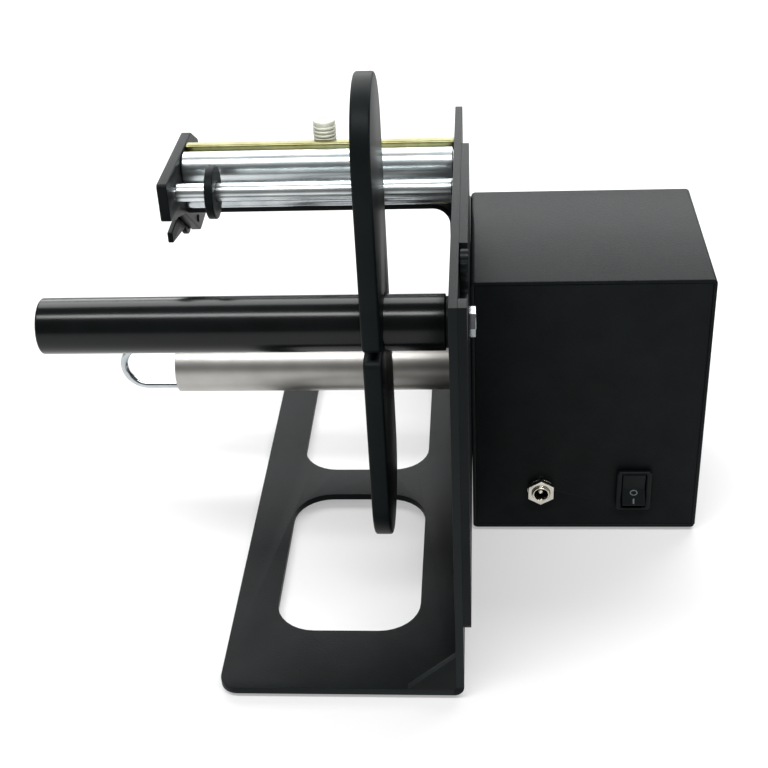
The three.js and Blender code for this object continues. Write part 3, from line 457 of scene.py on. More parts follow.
def circle(centre: Point, radius: float, steps: int = ROUND_STEPS, start: float = 0.0) -> list[Point]:
    """Gives the points of a circle, or of a regular polygon where the steps are few."""
    return arc(centre, radius, start, start + 2 * math.pi * (1 - 1 / steps), steps - 1)


def hexagon(centre: Point, flats: float, turn: float = 0.0) -> list[Point]:
    """Gives a hexagon by its width across flats; at turn 0 a corner points along the first axis."""
    return circle(centre, flats / math.sqrt(3), 6, turn)


def rounded(corners: Sequence[Corner], steps: int = CORNER_STEPS) -> list[Point]:
    """Gives a closed outline whose corners are eased by arcs.

    Args:
        corners: Each corner's two coordinates and its radius, 0 for a sharp one.
        steps: The number of stretches in each arc.

    Returns:
        The closed outline.
    """
    outline: list[Point] = []
    for i, (a, b, radius) in enumerate(corners):
        if radius <= 0:
            outline.append((a, b))
            continue
        here = Vector((a, b))
        before = (Vector(corners[i - 1][:2]) - here).normalized()
        after = (Vector(corners[(i + 1) % len(corners)][:2]) - here).normalized()
        half = before.angle(after) / 2
        centre = here + (before + after).normalized() * radius / math.sin(half)
        first = here + before * radius / math.tan(half) - centre
        last = here + after * radius / math.tan(half) - centre
        start = math.atan2(first.y, first.x)
        sweep = math.atan2(last.y, last.x) - start
        sweep = (sweep + math.pi) % (2 * math.pi) - math.pi
        outline += arc((centre.x, centre.y), radius, start, start + sweep, steps)
    return outline


def rectangle(low: Point, high: Point, radius: float) -> list[Point]:
    """Gives a rectangle with rounded corners, by its lowest and its highest corner."""
    return rounded([(*low, radius), (high[0], low[1], radius), (*high, radius), (low[0], high[1], radius)])


def centred(centre: Point, width: float, height: float, radius: float) -> list[Point]:
    """Gives a rectangle with rounded corners, by its centre and its sides."""
    a, b = centre
    return rectangle((a - width / 2, b - height / 2), (a + width / 2, b + height / 2), radius)


def rod(low: float, high: float, radius: float, edge: float) -> list[Corner]:
    """Gives the section, for turned(), of a plain rod with eased ends."""
    return [(low, 0.0, 0.0), (low, radius, edge), (high, radius, edge), (high, 0.0, 0.0)]


def sleeve(low: float, high: float, outer: float, inner: float, edge: float) -> list[Corner]:
    """Gives the section, for turned(), of a ring or tube with eased ends."""
    return [(low, inner, edge), (low, outer, edge), (high, outer, edge), (high, inner, edge)]


def finished(mesh: bpy.types.Mesh, place: Matrix) -> bpy.types.Mesh:
    """Welds a new mesh, puts it in place and shades it smooth between its true edges.

    Args:
        mesh: The mesh in metres.
        place: The matrix that turns it to the frame's axes.

    Returns:
        The same mesh.
    """
    work = bmesh.new()
    work.from_mesh(mesh)
    bmesh.ops.remove_doubles(work, verts=work.verts, dist=WELD)
    bmesh.ops.dissolve_degenerate(work, edges=work.edges, dist=WELD / 2)
    bmesh.ops.recalc_face_normals(work, faces=work.faces)
    work.to_mesh(mesh)
    work.free()
    mesh.transform(place)
    mesh.polygons.foreach_set("use_smooth", [True] * len(mesh.polygons))
    mesh.set_sharp_from_angle(angle=math.radians(SMOOTH_DEGREES))
    mesh.update()
    return mesh


def from_curve(curve: bpy.types.Curve, place: Matrix) -> bpy.types.Mesh:
    """Turns a curve to a mesh and clears the curve away.

    Args:
        curve: The curve, in metres.
        place: The matrix that turns it to the frame's axes.

    Returns:
        The finished mesh.
    """
    carrier = bpy.data.objects.new("carrier", curve)
    bpy.context.collection.objects.link(carrier)
    graph = bpy.context.evaluated_depsgraph_get()
    mesh = bpy.data.meshes.new_from_object(carrier.evaluated_get(graph))
    bpy.data.objects.remove(carrier)
    bpy.data.curves.remove(curve)
    return finished(mesh, place)


def plate(
    outline: Sequence[Point],
    low: float,
    high: float,
    axis: Axis,
    holes: Sequence[Sequence[Point]] = (),
    edge: float = SEAM,
) -> bpy.types.Mesh:
    """Cuts a plate to an outline with holes and breaks its edges.

    Args:
        outline: The closed outline: (y, z) for Axis.X, (x, z) for Axis.Y and (x, y) for Axis.Z.
        low: Where the plate starts along its thickness.
        high: Where it ends.
        axis: The way its thickness runs.
        holes: Closed outlines of its holes.
        edge: The radius of its broken edges.

    Returns:
        The plate's mesh.
    """
    curve = bpy.data.curves.new("outline", "CURVE")
    curve.dimensions = "2D"
    curve.fill_mode = "BOTH"
    curve.extrude = ((high - low) / 2 - edge) * MM
    curve.bevel_depth = edge * MM
    curve.bevel_resolution = EDGE_ROUNDS
    curve.offset = -edge * MM
    for points in (outline, *holes):
        spline = curve.splines.new("POLY")
        spline.points.add(len(points) - 1)
        for knot, (a, b) in zip(spline.points, points):
            knot.co = (a * MM, b * MM, 0.0, 1.0)
        spline.use_cyclic_u = True
    middle = (low + high) / 2 * MM
    if axis is Axis.Y:
        middle = -middle
    return from_curve(curve, axis.value @ Matrix.Translation((0.0, 0.0, middle)))


def turned(
    corners: Sequence[Corner], axis: Axis, centre: Point, steps: int = ROUND_STEPS
) -> bpy.types.Mesh:
    """Turns a piece on a lathe.

    Args:
        corners: The closed section: place along the axis, radius there, and the corner's easing.
        axis: The way the piece's axis runs.
        centre: The axis's place in the other two coordinates, in the order that plate takes.
        steps: The number of facets round it.

    Returns:
        The turned mesh.
    """
    work = bmesh.new()
    rings: list[list[bmesh.types.BMVert]] = []
    for along, radius in rounded(corners, CORNER_STEPS // 2):
        spots = [(0.0, 0.0)] if radius < ON_AXIS else circle((0.0, 0.0), radius, steps)
        lift = -along if axis is Axis.Y else along
        ring = [((centre[0] + a) * MM, (centre[1] + b) * MM, lift * MM) for a, b in spots]
        rings.append([work.verts.new(spot) for spot in ring])
    for ring, following in zip(rings, rings[1:] + rings[:1]):
        if len(ring) == 1 and len(following) == 1:
            continue
        for k in range(steps):
            after = (k + 1) % steps
            if len(ring) == 1:
                face = (ring[0], following[k], following[after])
            elif len(following) == 1:
                face = (ring[after], ring[k], following[0])
            else:
                face = (ring[k], following[k], following[after], ring[after])
            work.faces.new(face)
    mesh = bpy.data.meshes.new("turned")
    work.to_mesh(mesh)
    work.free()
    return finished(mesh, axis.value)


def wire(points: Sequence[tuple[float, float, float]], radius: float) -> bpy.types.Mesh:
    """Bends a round wire along points.

    Args:
        points: The wire's centre line.
        radius: The wire's radius.

    Returns:
        The wire's mesh.
    """
    curve = bpy.data.curves.new("wire", "CURVE")
    curve.dimensions = "3D"
    curve.bevel_depth = radius * MM
    curve.bevel_resolution = CORNER_STEPS
    curve.use_fill_caps = True
    spline = curve.splines.new("POLY")
    spline.points.add(len(points) - 1)
    for knot, (x, y, z) in zip(spline.points, points):
        knot.co = (x * MM, y * MM, z * MM, 1.0)
    return from_curve(curve, Matrix.Identity(4))


def mount(
    name: str, mesh: bpy.types.Mesh, finish: Finish, *nodes: str, body: str = "machine_frame"
) -> None:
    """Adds a piece to the scene on its CAD body.

    Args:
        name: The piece's name.
        mesh: Its mesh, in place.
        finish: Its finish.
        nodes: The CAD nodes that it stands for.
        body: The CAD body that it moves with.
    """
    piece = bpy.data.objects.new(name, mesh)
    bpy.context.collection.objects.link(piece)
    mesh.materials.append(finish.material())
    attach(piece, body)
    if nodes:
        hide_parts(*nodes)
    log.info("piece %s on %s in %s", name, body, finish.name)


def dress(finish: Finish, *nodes: str) -> None:
    """Gives CAD nodes that stay in view their finish.

    Args:
        finish: The finish.
        nodes: The nodes' names.
    """
    for node in nodes:
        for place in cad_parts[node].material_slots:
            place.material = finish.material()
        log.info("node %s in %s", node, finish.name)


def bore_at(node: str, radius: float) -> list[Point]:
    """Gives the outline of a bore about a node whose axis runs along X."""
    return circle(room(node).across(Axis.X), radius, HALF_STEPS)


@dataclass
class SheetBase:
    """The bent base sheet with its upright leg, the main plate bolted to it, and a spacer."""

    base: Room = room("base_plate")
    main: Room = room("main_plate")
    sheet: float = 3.0
    bend: float = 4.0
    corner: float = 7.2
    window_width: float = 59.0
    window_side_margin: float = 18.3
    window_end_margin: float = 32.5
    window_bar: float = 19.5
    window_radius: float = 16.5
    top_length: float = 178.4
    heel_height: float = 27.0
    shoulder_height: float = 100.0
    profile_radius: float = 4.0
    gusset_width: float = 18.8
    gusset_height: float = 16.8
    notch_start: float = 6.3
    notch_length: float = 39.7
    notch_depth: float = 19.0
    notch_radius: float = 3.0
    axle_hole: float = 3.4
    bolt_well: float = 9.0
    bush_hole: float = 8.2
    roller_hole: float = 3.3
    idler_hole: float = 2.3
    spacer_lift: float = 19.0
    spacer_inset: float = 1.5
    edge: float = 0.14

    def build(self) -> None:
        """Builds every piece of the base."""
        self.foot_sheet()
        self.upright()
        self.bend_strip()
        self.gusset()
        self.main_plate()
        self.spacer()

    def windows(self) -> list[list[Point]]:
        """Gives the outlines of the windows in the foot sheet.

        Returns:
            The near window and the far one.
        """
        right = self.base.high.x - self.window_side_margin
        length = (self.base.size.y - 2 * self.window_end_margin - self.window_bar) / 2
        outlines = []
        for stride in (0.0, length + self.window_bar):
            front = self.base.low.y + self.window_end_margin + stride
            near_left, far_right = (right - self.window_width, front), (right, front + length)
            outlines.append(rectangle(near_left, far_right, self.window_radius))
        return outlines

    def foot_sheet(self) -> None:
        """Cuts the sheet that lies over the table."""
        low, high = self.base.low, self.base.high
        right = high.x - self.bend + self.edge + SEAM
        near = [(low.x, low.y, self.corner), (right, low.y, 0.0)]
        far = [(right, high.y, 0.0), (low.x, high.y, self.corner)]
        mesh = plate(rounded(near + far), low.z, low.z + self.sheet, Axis.Z, self.windows(), self.edge)
        mount("base_foot_sheet", mesh, POWDER_COAT, "base_plate")

    def upright(self) -> None:
        """Cuts the upright leg with its stepped back and its bores."""
        front, back, right = self.base.low.y, self.base.high.y, self.base.high.x
        low, top = self.base.low.z, self.base.high.z
        start = low + self.bend - self.edge - SEAM
        top_back = front + self.top_length
        r = self.profile_radius
        outline = rounded(
            [(front, start, 0.0), (back, start, 0.0), (back, low + self.heel_height, r)]
            + [(top_back, low + self.shoulder_height, r), (top_back, top, r), (front, top, self.edge)]
        )
        bores = [
            bore_at("supply_axle", self.axle_hole),
            bore_at("take_up_hub", self.bush_hole),
            bore_at("peel_roller", self.roller_hole),
            bore_at("idler_rod", self.idler_hole),
        ]
        mesh = plate(outline, right - self.sheet, right, Axis.X, bores, self.edge)
        mount("base_upright", mesh, POWDER_COAT, "base_plate")

    def bend_strip(self) -> None:
        """Rounds the bend between the foot sheet and the upright leg."""
        low, high = self.base.low, self.base.high
        centre = (high.x - HAIR - self.bend, low.z + HAIR + self.bend)
        outer = arc(centre, self.bend, -math.pi / 2, 0.0, 2 * CORNER_STEPS)
        inner = arc(centre, self.bend - self.sheet + SEAM / 2, 0.0, -math.pi / 2, 2 * CORNER_STEPS)
        mesh = plate(outer + inner, low.y, high.y, Axis.Y)
        mount("base_bend", mesh, POWDER_COAT, "base_plate")

    def gusset(self) -> None:
        """Adds the small web in the near corner of the bend."""
        right = self.base.high.x - self.sheet + self.edge
        low = self.base.low.z + self.sheet - self.edge
        front = self.base.low.y
        outline = [
            (right - self.gusset_width - self.edge, low),
            (right, low),
            (right, low + self.gusset_height + self.edge),
        ]
        mesh = plate(outline, front, front + self.sheet, Axis.Y, edge=self.edge)
        mount("base_gusset", mesh, POWDER_COAT, "base_plate")

    def main_plate(self) -> None:
        """Cuts the second plate, with the notch for the knob and the well for the bolt."""
        front, back, low, top = self.main.low.y, self.main.high.y, self.main.low.z, self.main.high.z
        notch_front = front + self.notch_start
        notch_back = notch_front + self.notch_length
        notch_low = top - self.notch_depth
        r = self.profile_radius
        outline = rounded(
            [(front, low, r), (back, low, r), (back, top, r), (notch_back, top, self.edge)]
            + [(notch_back, notch_low, self.notch_radius), (notch_front, notch_low, self.notch_radius)]
            + [(notch_front, top, self.edge), (front, top, self.edge)]
        )
        well = bore_at("supply_axle", self.bolt_well)
        mesh = plate(outline, self.base.high.x, self.main.high.x, Axis.X, [well], self.edge)
        mount("main_side_plate", mesh, POWDER_COAT, "main_plate")

    def spacer(self) -> None:
        """Cuts the spacer that fills the room between the upright leg and the motor box."""
        shell = room("housing_shell")
        low = (self.main.high.y + SEAM, shell.low.z + self.spacer_lift)
        high = (shell.high.y - self.spacer_inset, shell.high.z - SEAM)
        outline = rectangle(low, high, self.notch_radius)
        mesh = plate(outline, self.base.high.x, shell.low.x, Axis.X, edge=self.edge)
        mount("box_spacer_sheet", mesh, POWDER_COAT)


@dataclass
class RubberFeet:
    """The four low domed feet under the base sheet, or those under the motor box."""

    owner: str
    count: int = 4
    taper: float = 0.92
    dome_share: float = 0.45

    def build(self) -> None:
        """Turns each foot where its CAD foot stands."""
        for number in range(self.count):
            node = f"{self.owner}_foot_{number + 1}"
            held = room(node)
            low, high, radius = held.low.z, held.high.z, held.size.x / 2
            rim = (low, radius * self.taper, held.size.z * self.dome_share)
            section = [(low, 0.0, 0.0), rim, (high, radius, 0.0), (high, 0.0, 0.0)]
            mesh = turned(section, Axis.Z, held.across(Axis.Z), HALF_STEPS)
            mount(f"{node}_moulded", mesh, MOULDED_RUBBER, node)


@dataclass
class PowerJack:
    """The jack in the motor box: a threaded barrel with its nut, washer, pin and insulator."""

    hole: float = 3.9
    nut_edge: float = 0.4
    barrel_depth: float = 10.0
    barrel_wall: float = 1.1
    thread_start: float = 0.5
    thread_pitch: float = 0.8
    thread_depth: float = 0.28
    thread_turns: int = 6
    pin_inset: float = 2.0
    pin_length: float = 8.0
    pin_radius: float = 1.0
    seat_inset: float = 6.0
    seat_thickness: float = 1.0
    seat_radius: float = 2.6

    def build(self) -> None:
        """Builds the jack's pieces about the axis of its nut."""
        nut, washer, barrel = room("dc_jack_nut"), room("dc_jack_washer"), room("dc_jack_body")
        centre = nut.across(Axis.Y)
        outline = hexagon(centre, nut.size.x, math.pi / 2)
        mesh = plate(outline, nut.low.y, nut.high.y, Axis.Y, [circle(centre, self.hole)], self.nut_edge)
        mount("jack_nut", mesh, NICKEL_PLATED, "dc_jack_nut")
        ring = sleeve(washer.low.y, washer.high.y, washer.size.x / 2, self.hole, SEAM)
        mount("jack_washer", turned(ring, Axis.Y, centre), NICKEL_PLATED, "dc_jack_washer")
        section = self.barrel_section(barrel)
        mount("jack_barrel", turned(section, Axis.Y, centre), NICKEL_PLATED, "dc_jack_body")
        start = barrel.low.y + self.pin_inset
        pin = rod(start, start + self.pin_length, self.pin_radius, self.pin_radius / 2)
        mount("jack_pin", turned(pin, Axis.Y, centre, THIRD_STEPS), NICKEL_PLATED)
        start = barrel.low.y + self.seat_inset
        seat = rod(start, start + self.seat_thickness, self.seat_radius, SEAM)
        mount("jack_insulator", turned(seat, Axis.Y, centre), MOULDED_NYLON)

    def barrel_section(self, barrel: Room) -> list[Corner]:
        """Gives the section of the jack's barrel with its thread.

        Args:
            barrel: The room of the jack's body.

        Returns:
            The closed section.
        """
        front, back = barrel.low.y, barrel.low.y + self.barrel_depth
        outer = barrel.size.x / 2
        root = outer - self.thread_depth
        bore = outer - self.barrel_wall
        depth = self.thread_depth
        section = [(back, bore, 0.0), (front, bore + depth, depth), (front, root, depth)]
        for i in range(self.thread_turns):
            start = front + self.thread_start + i * self.thread_pitch
            section += [(start, outer, SEAM), (start + self.thread_pitch / 2, root, SEAM)]
        return [*section, (back, root, 0.0)]


@dataclass
class Switch:
    """The rocker switch: a flange, a well, the rocker and its two printed marks."""

    held: Room = room("switch_bezel")
    flange_width: float = 14.8
    flange_height: float = 20.0
    flange_depth: float = 1.9
    flange_corner: float = 1.5
    flange_edge: float = 0.55
    well_width: float = 10.5
    well_height: float = 17.6
    body_width: float = 12.6
    body_height: float = 18.4
    corner: float = 0.6
    back_wall: float = 2.0
    pivot_depth: float = 3.5
    rocker_width: float = 9.9
    rocker_half_height: float = 7.6
    rocker_tilt_degrees: float = 10.0
    rocker_rise: float = 3.0
    rocker_dip: float = 0.9
    rocker_back: float = 4.0
    rocker_edge: float = 0.45
    ridge_ease: float = 0.9
    ring_radius: float = 1.65
    ring_squash: float = 0.72
    ring_stroke: float = 0.42
    ring_share: float = 0.24
    bar_width: float = 0.672
    bar_height: float = 2.2
    bar_corner: float = 0.14
    bar_share: float = 0.72
    print_thickness: float = 0.08

    def build(self) -> None:
        """Builds the switch's frame, its rocker and the marks on it."""
        centre = self.held.across(Axis.Y)
        well = centred(centre, self.well_width, self.well_height, self.corner)
        wall = centred(centre, self.body_width, self.body_height, self.corner)
        flange = centred(centre, self.flange_width, self.flange_height, self.flange_corner)
        front, back = self.held.low.y, self.held.high.y
        wall_front, wall_back = front + self.flange_depth, back - self.back_wall
        for name, outline, low, high, holes, edge in (
            ("switch_flange", flange, front, wall_front, [well], self.flange_edge),
            ("switch_well", wall, wall_front, wall_back, [well], SEAM),
            ("switch_back", wall, wall_back, back, [], SEAM),
        ):
            mesh = plate(outline, low, high, Axis.Y, holes, edge)
            mount(name, mesh, MOULDED_SWITCH, "switch_bezel")
        pivot = Vector((centre[0], room("housing_shell").low.y + self.pivot_depth, centre[1]))
        tilt = Matrix.Rotation(math.radians(-self.rocker_tilt_degrees), 4, "X")
        place = Matrix.Translation(pivot * MM) @ tilt
        self.rocker(place)
        self.marks(place)

    @property
    def ridge(self) -> Vector:
        """The middle line of the rocker's face, seen from its pivot."""
        return Vector((-self.pivot_depth - self.rocker_dip, 0.0))

    @property
    def foot(self) -> Vector:
        """The lower edge of the rocker's face, seen from its pivot."""
        return Vector((-self.pivot_depth - self.rocker_rise, -self.rocker_half_height))

    def rocker(self, place: Matrix) -> None:
        """Shapes the rocker about its pivot.

        Args:
            place: The pivot's place and the rocker's tilt.
        """
        up = self.rocker_half_height
        front = [(*self.ridge, self.ridge_ease), (self.foot.x, up, self.corner)]
        back = [(0.0, up, self.corner), (self.rocker_back, 0.0, self.ridge_ease), (0.0, -up, self.corner)]
        section = rounded([*front, *back, (*self.foot, self.corner)])
        half = self.rocker_width / 2
        mesh = plate(section, -half, half, Axis.X, edge=self.rocker_edge)
        mesh.transform(place)
        mount("switch_rocker_moulded", mesh, MOULDED_SWITCH, "switch_rocker", body="rocker")

    def marks(self, place: Matrix) -> None:
        """Prints the off and on marks on the lower face of the rocker.

        Args:
            place: The pivot's place and the rocker's tilt.
        """
        ring, hollow = (
            [(a, b * self.ring_squash) for a, b in circle((0.0, 0.0), radius, HALF_STEPS)]
            for radius in (self.ring_radius, self.ring_radius - self.ring_stroke)
        )
        bar = centred((0.0, 0.0), self.bar_width, self.bar_height, self.bar_corner)
        along = self.foot - self.ridge
        lean = Matrix.Rotation(math.atan2(along.x, -along.y), 4, "X")
        thick = self.print_thickness
        for name, outline, holes, share in (
            ("switch_mark_off", ring, [hollow], self.ring_share),
            ("switch_mark_on", bar, [], self.bar_share),
        ):
            spot = self.ridge + along * share
            at = Matrix.Translation(Vector((0.0, spot.x - thick, spot.y)) * MM)
            mesh = plate(outline, -thick, thick, Axis.Y, holes, HAIR)
            mesh.transform(place @ at @ lean)
            mount(name, mesh, PAD_PRINT, body="rocker")


@dataclass
class MotorBox:
    """The folded steel box: its cover, its front and back panels, its pan and its screws."""

    shell: Room = room("housing_shell")
    sheet: float = 1.5
    fold: float = 2.0
    panel_inset: float = 0.3
    seam: float = 0.12
    switch_width: float = 12.8
    switch_height: float = 18.6
    edge: float = 0.4
    screws: int = 4

    def build(self) -> None:
        """Builds the box's sheets and dresses its screws."""
        self.cover()
        self.panels()
        self.pan()
        dress(ZINC_PLATED, *(f"housing_screw_{number + 1}" for number in range(self.screws)))

    def cover(self) -> None:
        """Folds the cover: one sheet over the top and down both sides."""
        low = self.shell.low.z + self.sheet + self.seam
        left, right, top = self.shell.low.x, self.shell.high.x, self.shell.high.z
        inner_left, inner_right, inner_top = left + self.sheet, right - self.sheet, top - self.sheet
        inner = self.fold - self.sheet + self.seam
        outline = rounded(
            [(left, low, 0.0), (left, top, self.fold), (right, top, self.fold), (right, low, 0.0)]
            + [(inner_right, low, 0.0), (inner_right, inner_top, inner)]
            + [(inner_left, inner_top, inner), (inner_left, low, 0.0)]
        )
        mesh = plate(outline, self.shell.low.y, self.shell.high.y, Axis.Y, edge=self.edge)
        mount("box_cover", mesh, POWDER_COAT, "housing_shell")

    def panels(self) -> None:
        """Cuts the front panel with its two openings, and the plain back panel."""
        low, high = self.shell.low, self.shell.high
        inset = self.sheet + self.seam
        corners = (low.x + inset, low.z + inset), (high.x - inset, high.z - inset)
        outline = rectangle(*corners, self.fold - self.sheet)
        jack_hole = circle(room("dc_jack_nut").across(Axis.Y), PowerJack.hole, HALF_STEPS)
        switch = room("switch_bezel").across(Axis.Y)
        switch_hole = centred(switch, self.switch_width, self.switch_height, self.seam)
        front, back = low.y + self.panel_inset, high.y - self.panel_inset
        mesh = plate(outline, front, front + self.sheet, Axis.Y, [jack_hole, switch_hole], self.seam)
        mount("box_front_panel", mesh, POWDER_COAT, "housing_shell")
        mesh = plate(outline, back - self.sheet, back, Axis.Y, edge=self.seam)
        mount("box_back_panel", mesh, POWDER_COAT, "housing_shell")

    def pan(self) -> None:
        """Cuts the pan whose edge shows below the front panel."""
        low, high = self.shell.low, self.shell.high
        outline = rectangle((low.x, low.y), (high.x, high.y), self.fold)
        mesh = plate(outline, low.z, low.z + self.sheet, Axis.Z, edge=self.edge)
        mount("box_pan", mesh, POWDER_COAT, "housing_floor")


@dataclass
class TakeUp:
    """The motor-driven spindle: a slotted tube, its hub and plug, the wire clip and the drive."""

    tube: Room = room("take_up_tube")
    wall: float = 2.4
    slot_half: float = 2.0
    hub_length: float = 22.0
    wire_radius: float = 1.7
    loop_steps: int = 24
    edge: float = 0.25
    body: str = "take_up_spindle"

    @property
    def centre(self) -> Point:
        """The spindle's axis in (y, z)."""
        return self.tube.across(Axis.X)

    @property
    def outer(self) -> float:
        """The tube's outer radius."""
        return self.tube.size.y / 2

    def build(self) -> None:
        """Builds the spindle and dresses the drive that stays from the CAD."""
        self.shells()
        self.hub()
        self.plug()
        self.clip()
        dress(TURNED_BRASS, "output_gear", "motor_pinion", "spindle_bush")
        dress(NICKEL_PLATED, "gearbox_case", "gearbox_lid")
        dress(ZINC_PLATED, "motor_can")
        dress(TURNED_STAINLESS, "output_shaft")
        dress(SOLDER_MASK, "control_board")

    def shells(self) -> None:
        """Cuts the tube: two half shells with a slot above and below, and a whole ring at the hub."""
        low, high, centre = self.tube.low.x, self.tube.high.x, self.centre
        outer, inner = self.outer, self.outer - self.wall
        wide = math.pi / 2 - math.asin(self.slot_half / outer)
        narrow = math.pi / 2 - math.asin(self.slot_half / inner)
        for name, facing in (("take_up_half_back", 0.0), ("take_up_half_front", math.pi)):
            outline = arc(centre, outer, facing - wide, facing + wide, HALF_STEPS)
            outline += arc(centre, inner, facing + narrow, facing - narrow, HALF_STEPS)
            mesh = plate(outline, low, high, Axis.X, edge=self.edge)
            mount(name, mesh, TURNED_STAINLESS, "take_up_tube", body=self.body)
        ring = sleeve(high - self.hub_length, high - SEAM, outer - SEAM / 2, inner, self.edge)
        mesh = turned(ring, Axis.X, centre)
        mount("take_up_ring", mesh, TURNED_STAINLESS, "take_up_tube", body=self.body)

    def hub(self) -> None:
        """Turns the steel hub inside the right end."""
        held = room("take_up_hub")
        radius = held.size.y / 2
        mesh = turned(sleeve(held.low.x, held.high.x, radius, radius / 2, SEAM), Axis.X, self.centre)
        mount("take_up_hub_turned", mesh, TURNED_STAINLESS, "take_up_hub", body=self.body)

    def plug(self) -> None:
        """Cuts the black plug in the left end, flat where the clip's arms pass it."""
        held = room("take_up_plug")
        y, z = self.centre
        slot = self.slot_half
        inner = self.outer - self.wall - SEAM
        arm = self.outer - 2 * self.wire_radius - SEAM
        side = math.acos(slot / inner)
        outline = arc(self.centre, inner, -side, side, THIRD_STEPS)
        outline += [(y + slot, z + arm), (y - slot, z + arm)]
        outline += arc(self.centre, inner, math.pi - side, math.pi + side, THIRD_STEPS)
        outline += [(y - slot, z - arm), (y + slot, z - arm)]
        mesh = plate(outline, held.low.x + SEAM, held.high.x, Axis.X, edge=self.edge)
        mount("take_up_plug_moulded", mesh, MOULDED_NYLON, "take_up_plug", body=self.body)

    def clip(self) -> None:
        """Bends the clip: two arms in the slots and a half-round loop outside."""
        held = room("take_up_clip")
        y, z = self.centre
        up = self.outer - self.wire_radius
        bend = held.low.x + self.wire_radius + up
        turns = [math.pi * i / self.loop_steps for i in range(self.loop_steps + 1)]
        loop = [(bend - up * math.sin(turn), y, z + up * math.cos(turn)) for turn in turns]
        mesh = wire([(held.high.x, y, z + up), *loop, (held.high.x, y, z - up)], self.wire_radius)
        mount("take_up_clip_bent", mesh, ZINC_PLATED, "take_up_clip", body="clip")


@dataclass
class Supply:
    """The supply tube on its bolted axle, and the baffle that slides on the tube."""

    tube: Room = room("supply_tube")
    axle: Room = room("supply_axle")
    wall: float = 2.0
    tube_edge: float = 1.0
    plug_dish: float = 1.2
    washer_bore: float = 3.1
    bolt_flats: float = 10.0
    bolt_edge: float = 0.7
    shank_radius: float = 3.0
    shank_edge: float = 0.5
    baffle_half_width: float = 26.1
    baffle_up: float = 96.9
    baffle_down: float = 95.0
    baffle_tilt_degrees: float = 1.2
    baffle_slit: float = 3.6
    baffle_lip: float = 3.0
    baffle_edge: float = 1.0
    bore_gap: float = 0.3

    @property
    def centre(self) -> Point:
        """The tube's axis in (y, z)."""
        return self.tube.across(Axis.X)

    @property
    def outer(self) -> float:
        """The tube's outer radius."""
        return self.tube.size.y / 2

    def build(self) -> None:
        """Builds the tube, its fixings and the baffle."""
        low, high, axle = self.tube.low.x, self.tube.high.x, self.axle
        outer, inner, edge = self.outer, self.outer - self.wall, self.tube_edge
        section = [(low, inner, edge / 3), (low, outer, edge), (high, outer, edge / 2), (high, inner, 0.0)]
        mesh = turned(section, Axis.X, self.centre)
        mount("supply_tube_polished", mesh, POLISHED_ABS, "supply_tube")
        self.plugs()
        mesh = turned(rod(axle.low.x, axle.high.x, axle.size.y / 2, edge / 2), Axis.X, self.centre)
        mount("supply_axle_turned", mesh, TURNED_STAINLESS, "supply_axle")
        self.spacer()
        self.bolt()
        self.baffle()

    def plugs(self) -> None:
        """Turns the two end plugs, the left one dished."""
        outer = self.outer - self.wall - SEAM
        bore = self.axle.size.y / 2 + SEAM
        for side in ("left", "right"):
            node = f"supply_plug_{side}"
            low, high = room(node).low.x, room(node).high.x
            section = sleeve(low, high, outer, bore, SEAM)
            if side == "left":
                dish, hub, rim = low + self.plug_dish, bore + self.wall, outer - self.wall / 2
                dished = ((low, hub), (dish, hub), (dish, rim), (low, rim))
                section[1:1] = [(along, radius, SEAM) for along, radius in dished]
            mount(f"{node}_moulded", turned(section, Axis.X, self.centre), MOULDED_NYLON, node)

    def spacer(self) -> None:
        """Turns the dark spacer between the tube's right end and the upright leg."""
        wall = room("base_plate").high.x - SheetBase.sheet
        outer, inner = self.outer - self.tube_edge, self.outer - self.wall
        ring = sleeve(self.tube.high.x + SEAM, wall - SEAM, outer, inner, SEAM)
        mount("supply_spacer_moulded", turned(ring, Axis.X, self.centre), MOULDED_NYLON)

    def bolt(self) -> None:
        """Makes the hexagon bolt and its washer."""
        washer, held, centre = room("supply_washer"), room("supply_bolt"), self.centre
        ring = sleeve(washer.low.x, washer.high.x, washer.size.y / 2, self.washer_bore, SEAM)
        mount("supply_washer_plated", turned(ring, Axis.X, centre), ZINC_PLATED, "supply_washer")
        head = washer.high.x + SEAM
        mesh = plate(hexagon(centre, self.bolt_flats), head, held.high.x, Axis.X, edge=self.bolt_edge)
        mount("supply_bolt_head", mesh, ZINC_PLATED, "supply_bolt")
        shank = rod(held.low.x, head + SEAM, self.shank_radius, self.shank_edge)
        mount("supply_bolt_shank", turned(shank, Axis.X, centre, HALF_STEPS), ZINC_PLATED, "supply_bolt")

    def baffle(self) -> None:
        """Cuts the long baffle with its bore and its slit to the front."""
        held = room("supply_baffle")
        w = self.baffle_half_width
        up, down = self.baffle_up - w, self.baffle_down - w
        half = self.baffle_slit / 2
        lip = self.baffle_lip
        bore = self.outer + self.bore_gap
        mouth = math.asin(half / bore)
        outline = arc((lip - w, -half - lip), lip, math.pi, math.pi / 2, CORNER_STEPS)
        outline += arc((0.0, 0.0), bore, mouth - math.pi, math.pi - mouth, ROUND_STEPS)
        outline += arc((lip - w, half + lip), lip, -math.pi / 2, -math.pi, CORNER_STEPS)
        outline += arc((0.0, up), w, math.pi, 0.0, HALF_STEPS)
        outline += arc((0.0, -down), w, 0.0, -math.pi, HALF_STEPS)
        mesh = plate(outline, held.low.x, held.high.x, Axis.X, edge=self.baffle_edge)
        tilt = Matrix.Rotation(math.radians(self.baffle_tilt_degrees), 4, "X")
        y, z = self.centre
        mesh.transform(Matrix.Translation((0.0, y * MM, z * MM)) @ tilt)
        mount("supply_baffle_moulded", mesh, MOULDED_NYLON, "supply_baffle", body="baffle")


